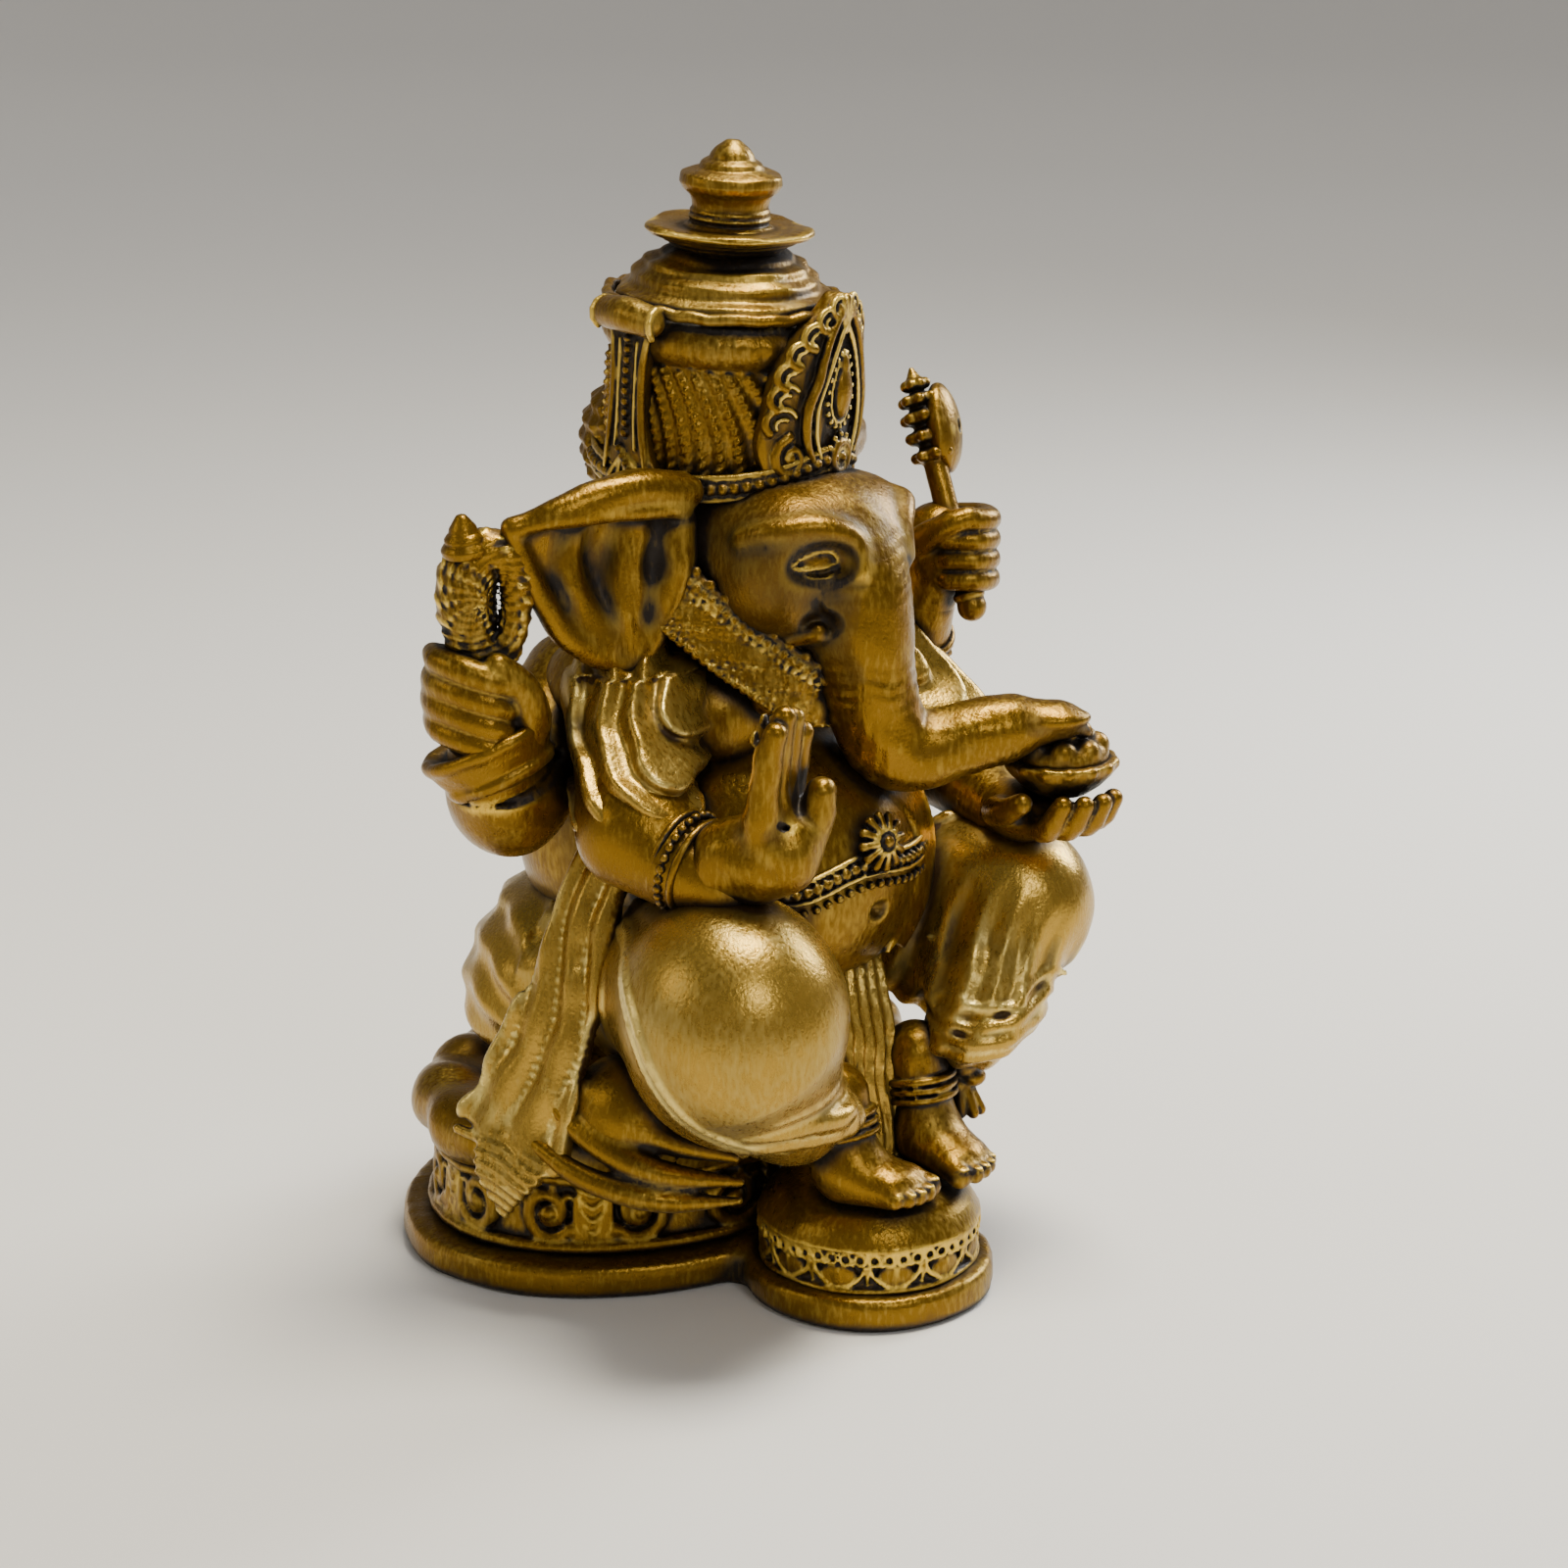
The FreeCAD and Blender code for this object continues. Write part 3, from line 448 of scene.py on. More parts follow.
def skin(form, step):
    """Vertices and quads of the form's surface, by surface nets."""
    values, low = field_grid(form, step)
    for axis in range(3):
        edge = [slice(None)] * 3
        for end in (0, -1):
            edge[axis] = end
            values[tuple(edge)] = np.maximum(values[tuple(edge)], 0.5)
    inside = values < 0
    total = np.zeros(np.array(values.shape) - 1, np.int8)
    corners = [(x, y, z) for x in (0, 1) for y in (0, 1) for z in (0, 1)]
    nx, ny, nz = total.shape
    for x, y, z in corners:
        total += inside[x:x + nx, y:y + ny, z:z + nz]
    cell = np.stack(np.nonzero((total > 0) & (total < 8)), axis=1)
    index = np.full(total.shape, -1, np.int32)
    index[tuple(cell.T)] = np.arange(len(cell))
    place = np.zeros((len(cell), 3))
    hits = np.zeros(len(cell))
    for axis in range(3):
        step_along = np.eye(3, dtype=int)[axis]
        for corner in corners:
            if corner[axis]:
                continue
            a = cell + corner
            b = a + step_along
            va, vb = values[tuple(a.T)], values[tuple(b.T)]
            cross = (va < 0) != (vb < 0)
            t = np.where(cross, va / np.where(cross, va - vb, 1), 0)
            place += cross[:, None] * (np.array(corner) + t[:, None] * step_along)
            hits += cross
    verts = (cell + place / hits[:, None]) * step + low
    quads = []
    for axis in range(3):
        u, v = [i for i in range(3) if i != axis]
        lead = [slice(1, -1)] * 3
        lead[axis] = slice(0, -1)
        trail = list(lead)
        trail[axis] = slice(1, None)
        a, b = inside[tuple(lead)], inside[tuple(trail)]
        spot = np.stack(np.nonzero(a != b), axis=1)
        spot[:, u] += 1
        spot[:, v] += 1
        du, dv = np.eye(3, dtype=int)[u], np.eye(3, dtype=int)[v]
        quad = np.stack([index[tuple((spot - o).T)] for o in (0 * du, du, du + dv, dv)], axis=1)
        starts_in = inside[tuple(spot.T)]
        flip = ~starts_in if axis != 1 else starts_in
        quad[flip] = quad[flip][:, ::-1]
        quads.append(quad)
    return verts, np.vstack(quads)


# ---------------------------------------------------------------- the base
def oval(node, height, out=0.0):
    """Points round a node's oval at a height: spot(degrees) gives the point out beyond its box's edge."""
    low, high = box_mm(node)
    c, half = (low + high) / 2, (high - low) / 2 + out

    def spot(angle, up=0.0, further=0.0):
        a = math.radians(angle)
        return np.array([c[0] + (half[0] + further) * math.cos(a), c[1] + (half[1] + further) * math.sin(a),
                         height + up])

    return spot


def plinth():
    """The slab: a main oval and a round lobe that flow into each other at the notches."""
    low, high = box_mm("plinth")
    wide, thick = high[0] - low[0], high[2] - low[2]
    lobe = wide * 0.404
    main = slab((low[0], high[1] - wide * 0.744, low[2]), high, 2.4)
    step = slab((-lobe / 2, low[1], low[2]), (lobe / 2, low[1] + lobe, low[2] + thick), 2.4)
    body = merge(main, step, k=7)
    return relief(body, lambda p: 0.35 * wander(p, 26, 3) + 0.15 * wander(p, 7, 5) * (p[:, 2] > 2), 0.6)


def throne():
    """The rock seat: a waisted drum with acanthus scrolls rolled round its wall between two mouldings."""
    low, high = box_mm("throne")
    wall = oval("throne", (low[2] + high[2]) / 2, -2.6)
    drum = slab(low - (0, 0, 1), high + (0, 0, 2), 1.5, waist=3.0)
    drum = relief(drum, lambda p: 0.5 * wander(p, 13, 1) + 0.25 * wander(p, 5, 2), 0.9)
    parts = [drum]
    foot = [(*wall(a, up=-8.6, further=2.6), 1.7) for a in range(0, 361, 9)]
    rim = [(*wall(a, up=9.2 + math.sin(a * 0.13), further=2.2), 1.5) for a in range(0, 361, 9)]
    parts += [coil(foot, 1), coil(rim, 1)]
    for i, a in enumerate(range(-68, 260, 23)):
        hand = 1 if i % 2 else -1
        parts.append(acanthus(lambda u, v, a=a, hand=hand: wall(a + hand * u * 0.95, up=v, further=0.9)))
    return merge(*parts, k=0.8)


def acanthus(place):
    """One scroll of the wall: a rolled tube round a bead, lobes inside it and a striped leaf beside it."""
    scroll = volute(place, 0, 0.3, 7.6, 215, 1.4, 2.1, steps=18)
    parts = [scroll, ball(place(0, 0.3), 2.5)]
    for turn in (20, 60, 100, 140):
        t = math.radians(turn)
        parts.append(bar(place(4.6 * math.cos(t), 0.3 + 4.6 * math.sin(t)),
                         place(7.0 * math.cos(t), 0.3 + 7.0 * math.sin(t)),
                         0.8, 1.2))
    tail = traced(place, [(-6, -4, 1.8), (-9, -7, 2.0), (-13, -6.5, 1.9), (-16, -2, 1.6), (-16.5, 4, 1.1)])
    parts.append(coil(tail, 4))
    for u, v in ((-12.5, -3.5), (-12.5, 0), (-12, 3.6), (-11, 7.0)):
        parts.append(coil([(*place(u, v), 1.5), (*place(u + 2.6, v + 1.8), 1.2),
                           (*place(u + 4.2, v + 4.2), 0.7)], 2))
    return merge(*parts, k=0.6)


def cushion():
    """The seat: a soft lumpy cushion with the robe's long folds lying along its edge."""
    low, high = box_mm("cushion")
    edge = oval("cushion", low[2], -4.5)
    seat = slab(low, high + (0, 0, 1), 6.0)
    seat = relief(seat, lambda p: 1.5 * wander(p, 34, 7) + 0.6 * wander(p, 15, 4), 2.2)
    rolls = []
    for start, end, up, tall, radius in ((176, 276, 2.0, 1.6, 3.2), (196, 292, 6.2, -2.2, 3.0),
                                         (204, 284, 10.0, 1.8, 2.6), (212, 270, 13.0, -1.0, 2.2),
                                         (120, 190, 6.0, 2.0, 3.4),
                                         (20, 140, 3.0, 1.8, 3.2), (-20, 95, 8.0, 1.2, 2.8),
                                         (-75, 20, 4.0, 1.5, 3.0),
                                         (-60, 8, 9.0, -1.0, 2.2)):
        steps = max(5, (end - start) // 14)
        path = []
        for i in range(steps + 1):
            t = i / steps
            swell = 0.45 + 0.55 * math.sin(math.pi * min(max(t, 0.03), 0.97))
            path.append((*edge(start + (end - start) * t, up=up + tall * math.sin(t * 5), further=-0.25 * up),
                         radius * swell))
        rolls.append(coil(path, 2))
    lumps = []
    for angle, up, radius in ((172, 5, 8), (150, 6, 9.5), (128, 7, 8), (100, 5, 9), (70, 6, 8), (38, 6, 9),
                              (8, 5, 8)):
        lumps.append(ball(edge(angle, up=up, further=-3.5), radius))
    d = around("cushion", shift=(3, -3, 0))
    spread = lump(d(-54, -40, 15), (14, 15, 14))
    sweep = [coil([d(-64, -24, 30, 1.6), d(-63, -38, 20, 3.4), d(-55, -54, 12, 3.6), d(-42, -66, 7, 1.6)], 4),
             coil([d(-70, -26, 20, 1.6), d(-67, -42, 11, 3.2), d(-59, -57, 5, 3.4), d(-42, -68, 1, 1.2)], 4),
             coil([d(-75, -24, 10, 1.6), d(-71, -42, 3, 3.0), d(-61, -59, -1, 3.0), d(-42, -68, -4, 1.0)], 4)]
    seat = merge(merge(seat, *lumps, spread, k=4), *sweep, k=2.2)
    return merge(seat, *rolls, k=1.8)


def footrest():
    """The lotus step: a foot ring, pointed petals, a band of circlets and a domed top."""
    low, high = box_mm("footrest")
    c = (low + high) / 2
    r, tall = (high[0] - low[0]) / 2, high[2] - low[2]
    foot = np.array([c[0], c[1], low[2]])
    body = spun(foot, np.eye(3), [(r - 1, 0), (r - 0.4, 0.03 * tall), (r - 2, 0.07 * tall),
                                  (r - 2.4, 0.30 * tall),
                                  (r - 1.6, 0.36 * tall), (r - 1.6, 0.46 * tall), (r - 0.6, 0.52 * tall),
                                  (r - 0.8, 0.58 * tall), (r - 2.4, 0.70 * tall), (r - 5.0, 0.82 * tall),
                                  (r - 10, 0.93 * tall), (r - 17, 0.985 * tall)], 0.5)
    parts = [body]

    def wall(angle, up, out=0.0):
        a = math.radians(angle)
        return foot + ((r + out) * math.cos(a), (r + out) * math.sin(a), up * tall)

    for i in range(24):
        a = i * 15.0
        if i % 2 == 0:
            for side in (-1, 1):
                edge = [(*wall(a + side * u, up, -0.9), w)
                        for u, up, w in ((13.5, 0.34, 0.6), (12.0, 0.22, 0.7), (7.0, 0.12, 0.75),
                                         (0.0, 0.03, 0.7))]
                parts.append(coil(edge, 3))
            parts.append(lump(wall(a, 0.22, -1.6), (4.6, 1.5, 3.4), turn_z(a - 90)))
            parts.append(bar(wall(a, 0.30, -0.6), wall(a, 0.08, -0.7), 0.8, 0.4))
            parts.append(bar(wall(a + 15, 0.30, -1.2), wall(a + 15, 0.10, -1.2), 1.2, 0.4))
        outward = turn_z(a) @ np.array([1.0, 0, 0])
        parts.append(hoop(wall(a + 3.75, 0.41, -0.6), outward, 1.35, 0.66))
        parts.append(hoop(wall(a + 11.25, 0.41, -0.6), outward, 1.35, 0.66))
        parts.append(ball(wall(a + 7.5, 0.36, -0.3), 0.8))
        parts.append(ball(wall(a, 0.47, -0.4), 0.7))
    ring_path = [(*wall(a, 0.52, -0.4), 0.8) for a in range(0, 361, 12)]
    parts.append(coil(ring_path, 1))
    return uneven(merge(*parts, k=0.4), 0.2, 17, 2, 0.3)


# ---------------------------------------------------------------- the body
def hips():
    """The draped hips, with the robe's folds swept round them from the lap."""
    h = around("hips")
    body = merge(lump(h(0, 0, 0), (53, 46, 32)), lump(h(-26, 10, -10), (27, 30, 22)),
                 lump(h(26, 10, -10), (27, 30, 22)), k=8)

    def cloth(p):
        angle = np.degrees(np.arctan2(p[:, 1] - h(0, 0, 0)[1], p[:, 0] - h(0, 0, 0)[0]))
        sweep = p[:, 2] + 7 * np.sin(np.radians(angle * 1.5 + 40)) + 3 * wander(p, 45, 1)
        return 1.5 * folds(angle * 0.8, sweep, 11.0, 1.8) + 0.5 * wander(p, 16, 4) - 0.6

    return relief(body, cloth, 2.2)


def torso():
    """Back, flanks and soft chest, with the fold under each breast and the line of the spine."""
    b = around("back")
    trunk = merge(lump(b(0, 2, -10), (42, 35, 47)), lump(b(0, -8, 16), (37, 27, 27)),
                  lump(b(-24, 10, -22), (18, 24, 22)), lump(b(24, 10, -22), (18, 24, 22)), k=9)
    chest = merge(lump(b(-17, -28, 20), (16, 13, 14)), lump(b(17, -28, 20), (16, 13, 14)), k=5)
    shoulders = merge(bar(b(-14, -4, 34), b(-37, -6, 25), 13, 14), bar(b(14, -4, 34), b(37, -6, 25), 13, 14))
    neck = bar(b(0, -10, 32), b(0, -19, 50), 19, 18)
    body = merge(trunk, chest, shoulders, neck, k=8)
    spine = coil(settle(body, smooth_path([b(0, 37, -34, 2.5), b(0, 39, -14, 2.5), b(0, 32, 10, 2.5),
                                           b(0, 22, 28, 2.0)], 3), 1.6), 1)
    crease = coil([b(-32, -32, 10, 1.0), b(-22, -41, 6.5, 1.4), b(-10, -41, 7, 1.4), b(-2, -37, 13, 0.8)], 3)
    other = coil([b(32, -32, 10, 1.0), b(22, -41, 6.5, 1.4), b(10, -41, 7, 1.4), b(2, -37, 13, 0.8)], 3)
    return uneven(carve(body, spine, crease, other, k=5), 0.35, 22, 3, 0.5)


def belly():
    """The round belly with its navel, and the wide folded border of the robe down its left side."""
    b = around("belly")
    round_belly = merge(lump(b(0, 13, -2), (42, 40, 37)), lump(b(0, 3, -9), (31, 30, 27)), k=6)
    navel = lump(b(2, -28.5, -10), (2.6, 3.4, 2.0))
    body = carve(round_belly, navel, k=1.5)
    border_path = [b(16, -21, 22), b(24, -21, 12), b(27, -22, 0), b(24, -24, -12), b(15, -22, -23)]
    border = settle(body, border_path, 0.6)
    strip = [(*q, 5.0, 1.3) for q in border]
    edge_lines = [merge(*[coil([(*(q + shift * np.array([0.86, 0.2, 0.45])), 0.8) for q in border], 4)])
                  for shift in (-4.6, -2.4, 0.2, 2.6, 4.8)]
    return merge(body, ribbon(strip, (0.4, -1, 0.2)), *edge_lines, k=0.9)


def girdle():
    """The beaded belt across the belly, a row of beads between two cords, and its flower."""
    b = around("belly")
    g = around("girdle")
    shape = merge(lump(b(0, 13, -2), (42, 40, 37)), lump(b(0, 3, -9), (31, 30, 27)), k=6)
    drop = [g(-42, 10, 8), g(-36, -4, 2), g(-22, -14, -1), g(-4, -20, 4), g(14, -18, 2),
            g(28, -10, 2), g(38, 2, 6)]
    middle = settle(shape, smooth_path(drop, 4), 0.6)
    upper = settle(shape, middle + (0, 0, 2.5), 0.7)
    lower = settle(shape, middle - (0, 0, 2.5), 0.7)
    rows = [studs(settle(shape, spaced(middle, 2.7), 0.9), 1.45)]
    for row in (upper, lower):
        rows.append(coil([(*q, 0.75) for q in row], 1))
    rows.append(studs(settle(shape, spaced(settle(shape, middle - (0, 0, 5.2), 0.5), 3.2), 0.7), 1.2))
    return merge(flower(), *rows, k=0.3)


def flower():
    """The belt's rosette: twelve petals round a beaded eye."""
    g = around("girdle_flower")
    face = turn_x(-12)
    middle = g(2, -1.6, -1)
    parts = [lump(middle, (4.2, 1.8, 4.2), face), ball(middle + face @ (0, -2.0, 0), 1.7)]
    for i in range(12):
        a = math.radians(i * 30)
        out = np.array([math.cos(a), 0, math.sin(a)])
        parts.append(bar(middle + face @ (2.8 * out + (0, -1.6, 0)), middle + face @ (6.4 * out), 0.75, 1.25))
        parts.append(ball(middle + face @ (2.9 * out + (0, -1.9, 0)), 0.55))
    return merge(*parts, k=0.25)


# ---------------------------------------------------------------- legs, robe and feet
def right_leg():
    """The right leg: a full smooth knee under the robe, its doubled border and its crescent folds."""
    k = around("right_leg", shift=(3, -3, 0))
    thigh = bar(k(20, 44, -8), k(-4, -12, 8), 24, 24)
    knee = lump(k(-6, -17, 5), (25.5, 26, 25.5))
    shin = bar(k(-5, -19, -2), k(8, -18, -20), 23, 14)
    calf = lump(k(-1, -8, -12), (20, 24, 19))
    body = merge(thigh, knee, shin, calf, k=9)
    hem = hoop(k(11, -17, -23.5), (0.25, 0.1, 1), 13.5, 4.6, 0.8)
    body = merge(body, hem, bar(k(10, -17, -20), k(13, -17, -26), 14, 12.5), k=5)
    border = settle(body, smooth_path([k(-14, 28, 24), k(-24, 10, 20), k(-32, -8, 8), k(-29, -18, -10),
                                       k(-16, -24, -24), k(0, -30, -30)], 4), 0.4)
    lines = []
    for shift in (0.0, 3.6):
        row = settle(body, border + shift * np.array([0.25, -0.8, 0.3]), 0.3)
        lines.append(coil([(*q, 0.85) for q in row], 1))
    crescents = []
    for drop, start, end, radius in ((-2.0, 186, 338, 2.6), (6.0, 202, 326, 2.9), (12.5, 214, 314, 1.0)):
        path = []
        for i in range(13):
            a = math.radians(start + (end - start) * i / 12)
            sag = math.sin(math.pi * i / 12)
            path.append((*(k(8, -18, -22) + (20 * math.cos(a), 20 * math.sin(a), drop - 5 * sag)),
                         radius * (0.35 + 0.65 * sag)))
        crescents.append(coil(settle(body, path, -0.4), 2))
    rays = []
    for a0 in range(190, 350, 20):
        a = math.radians(a0)
        ray = [(*(k(11, -17, -27) + (17 * math.cos(a), 17 * math.sin(a), z)), w)
               for z, w in ((0, 1.3), (4, 1.1), (8, 0.5))]
        rays.append(coil(settle(body, ray, 0.0), 2))
    lap = [k(22, 32, 21, 1.3), k(0, 24, 20, 1.8), k(-19, 20, 4, 1.2), k(-20, 24, -14, 0.7)]
    return merge(body, *lines, *crescents, *rays, coil(settle(body, lap, -0.2), 4), k=1.6)


def left_leg():
    """The left leg: the robe drawn tight over a higher knee, long folds down it and a ruffled hem."""
    k = around("left_leg")
    thigh = bar(k(-16, 41, -6), k(7, -13, 13), 23, 17)
    knee = merge(ball(k(9, -22, 13), 17.5), lump(k(6, -13, 16), (17, 19, 15)), k=6)
    shin = bar(k(8, -23, 8), k(-11, -28, -10), 17, 13)
    back = lump(k(1, -5, -4), (17, 22, 18))
    body = merge(thigh, knee, shin, back, k=8)
    hem = hoop(k(-13, -29, -13), (-0.45, 0.1, 1), 10.5, 4.2, 0.8)
    body = merge(body, hem, bar(k(-10, -28, -8), k(-15, -29, -15), 13, 11), k=4)

    def cloth(p):
        q = p - k(9, -23, 14)
        down = q @ unit((-0.6, -0.1, -0.8))
        across = q @ unit((0.62, -0.6, -0.35))
        strength = np.clip((down - 2) / 14, 0, 1)
        return strength * (1.3 * folds(down, across, 7.4, 2.0) - 0.6) + 0.2 * wander(p, 14, 2)

    body = relief(body, cloth, 1.3)
    drape = []
    for shift in range(5):
        fold = [(*(k(-21, 19, 23) + (shift * 2.5, -shift * 4.5, 0)), 0.8),
                (*(k(-5, 3, 20) + (shift * 3.4, -shift * 4.2, 0)), 1.6),
                (*(k(15, -5, 8) + (0, -shift * 4.0, 0)), 1.5),
                (*(k(15, -5, -6) + (-1, -shift * 4.2, 0)), 0.9)]
        drape.append(coil(settle(body, fold, -0.3), 4))
    ruffle = []
    for lift, bold in ((-1.0, 1.9), (3.6, 1.7), (8.2, 1.4), (13.0, 1.0)):
        ring = []
        for i in range(13):
            a = math.radians(150 + 22 * i)
            ring.append((*(k(-13, -29, -13) + (15 * math.cos(a), 15 * math.sin(a),
                                               lift - 4.5 * math.sin(math.pi * i / 12)
                                               + 3 * math.cos(a))),
                         bold * (0.4 + 0.6 * math.sin(math.pi * i / 12))))
        ruffle.append(coil(settle(body, ring, -0.2), 2))
    return merge(body, *drape, *ruffle, k=1.5)


def front_pleats():
    """The robe's pleated end that falls between the legs."""
    f = around("front_pleats")
    strip = [f(2, 14, 30, 9, 5), f(1, 4, 20, 9.5, 5), f(0, -3, 0, 9, 4), f(-1, -7, -24, 8, 2.4)]
    cloth = ribbon(strip, (0, -1, 0.2))
    pleats = relief(cloth, lambda p: 1.3 * folds(p[:, 2], p[:, 0] - 0.08 * p[:, 2], 3.6, 1.2) - 0.5, 1.5)
    return uneven(pleats, 0.3, 9, 4, 0.4)


def foot(node, ankle, heel, toe, turn):
    """A bare foot from the ankle to its five toes, each with a nail."""
    f = around(node)
    face = turn_z(turn)
    leg = bar(f(*ankle), f(*heel) + (0, 0, 5), 8.6, 7.6)
    sole = merge(lump(f(*heel) + (0, 0, 0.5), (7.6, 9, 6.4)), bar(f(*heel) + (0, -1, 1), f(*toe), 7.2, 4.6),
                 bar(f(*heel) + face @ (3, -2, 0), f(*toe) + face @ (4.5, 1.5, -0.2), 5.4, 4.0),
                 bar(f(*heel) + face @ (-3, -2, 0), f(*toe) + face @ (-4.5, 1.0, -0.2), 5.4, 4.0), k=4)
    toes = []
    for x, y, r in ((-6.6, -2.2, 3.1), (-2.8, -4.0, 2.4), (0.5, -3.8, 2.2), (3.6, -2.8, 2.1),
                    (6.4, -0.8, 2.0)):
        side = -1 if node.startswith("left") else 1
        tip = f(*toe) + face @ (-side * x, y - 1.5, -1.2)
        toes.append(bar(f(*toe) + face @ (-side * x * 0.8, 1.5, 0.3), tip, r, r))
        toes.append(lump(tip + face @ (0, -0.8, r * 0.72), (r * 0.6, r * 0.75, 0.6), face))
    body = merge(leg, sole, k=5)
    foot_and_toes = merge(body, merge(*toes, k=0.3), k=1.6)
    ring_at = f(*ankle) * 0.55 + (f(*heel) + (0, 0, 5)) * 0.45
    axis = unit(f(*ankle) - f(*heel) - (0, 0, 5))
    anklet = [hoop(ring_at + axis * lift, axis, 8.9, 1.0) for lift in (-3.0, -0.6, 1.8)]
    return merge(foot_and_toes, *anklet, k=0.5)


def right_foot():
    return foot("right_foot", (3, 5, 10), (3, 1, -9.0), (9, -12.5, -10.5), 12)


def left_foot():
    return foot("left_foot", (-4, 8, 8), (-4, 5, -13), (-4, -10, -15.5), 4)


def ankle_tassel():
    """A knot of cloth with a short fringed tail beside the ankle."""
    t = around("ankle_tassel")
    parts = [lump(t(0, 0, 5), (4.6, 4.2, 3.4)), lump(t(2, -2, 1.5), (3.4, 3.2, 2.6)),
             lump(t(-2, 1, 0), (3.2, 3.2, 2.6))]
    for i in range(7):
        a = math.radians(i * 51)
        out = np.array([math.cos(a), math.sin(a), 0])
        parts.append(bar(t(0, 0, -0.5) + 1.6 * out, t(1, -0.5, -7.5) + 3.8 * out, 1.3, 1.5))
    return merge(*parts, k=0.6)


def side_sash():
    """The long satin end that hangs from the waist over the hip and turns under into a striped tail."""
    s = around("side_sash", shift=(3, -3, 0))
    strip = [s(13, -2, 46, 6.5, 2.2), s(5, -3, 27, 8.5, 2.4), s(-3, 0, 5, 10.5, 2.4),
             s(-11, 3, -17, 13.5, 2.3), s(-15, 5, -28, 15.5, 2.0)]
    out = unit((-0.9, -0.35, 0.35))
    cloth = ribbon(strip, out, 10, k=1.2)
    spot = s(-1, -2, 9)
    down = unit(strip[-1][:3] - strip[0][:3])
    across = unit(np.cross(down, out))
    pleats = relief(cloth, lambda p: 1.7 * folds((p - spot) @ down, (p - spot) @ across
                                                  * (1 - 0.008 * ((p - spot) @ down)), 8.0, 2.0)
                    + 0.5 * wander(p, 13, 2) - 0.8, 2.0)
    tail = ribbon([s(-13, 2, -26, 12, 1.8), s(-19, 2, -34, 9, 1.8), s(-19, 3, -40, 5, 1.6),
                   s(-18, 4, -46, 1.2, 1.2)], out)
    tail_spot = s(-17, 3, -33)
    tail = relief(tail, lambda p: 0.8 * folds((p - tail_spot) @ across, (p - tail_spot) @ down, 2.6,
                                              1.2) - 0.3, 1.0)
    hem = coil([(*(s(-16, 5, -30) + across * w + out * 1.2), 1.3) for w in (-14.5, -8, 0, 8, 14.5)], 3)
    return merge(pleats, tail, hem, k=1.4)


# ---------------------------------------------------------------- the head
HEAD_TURN = turn_z(12)


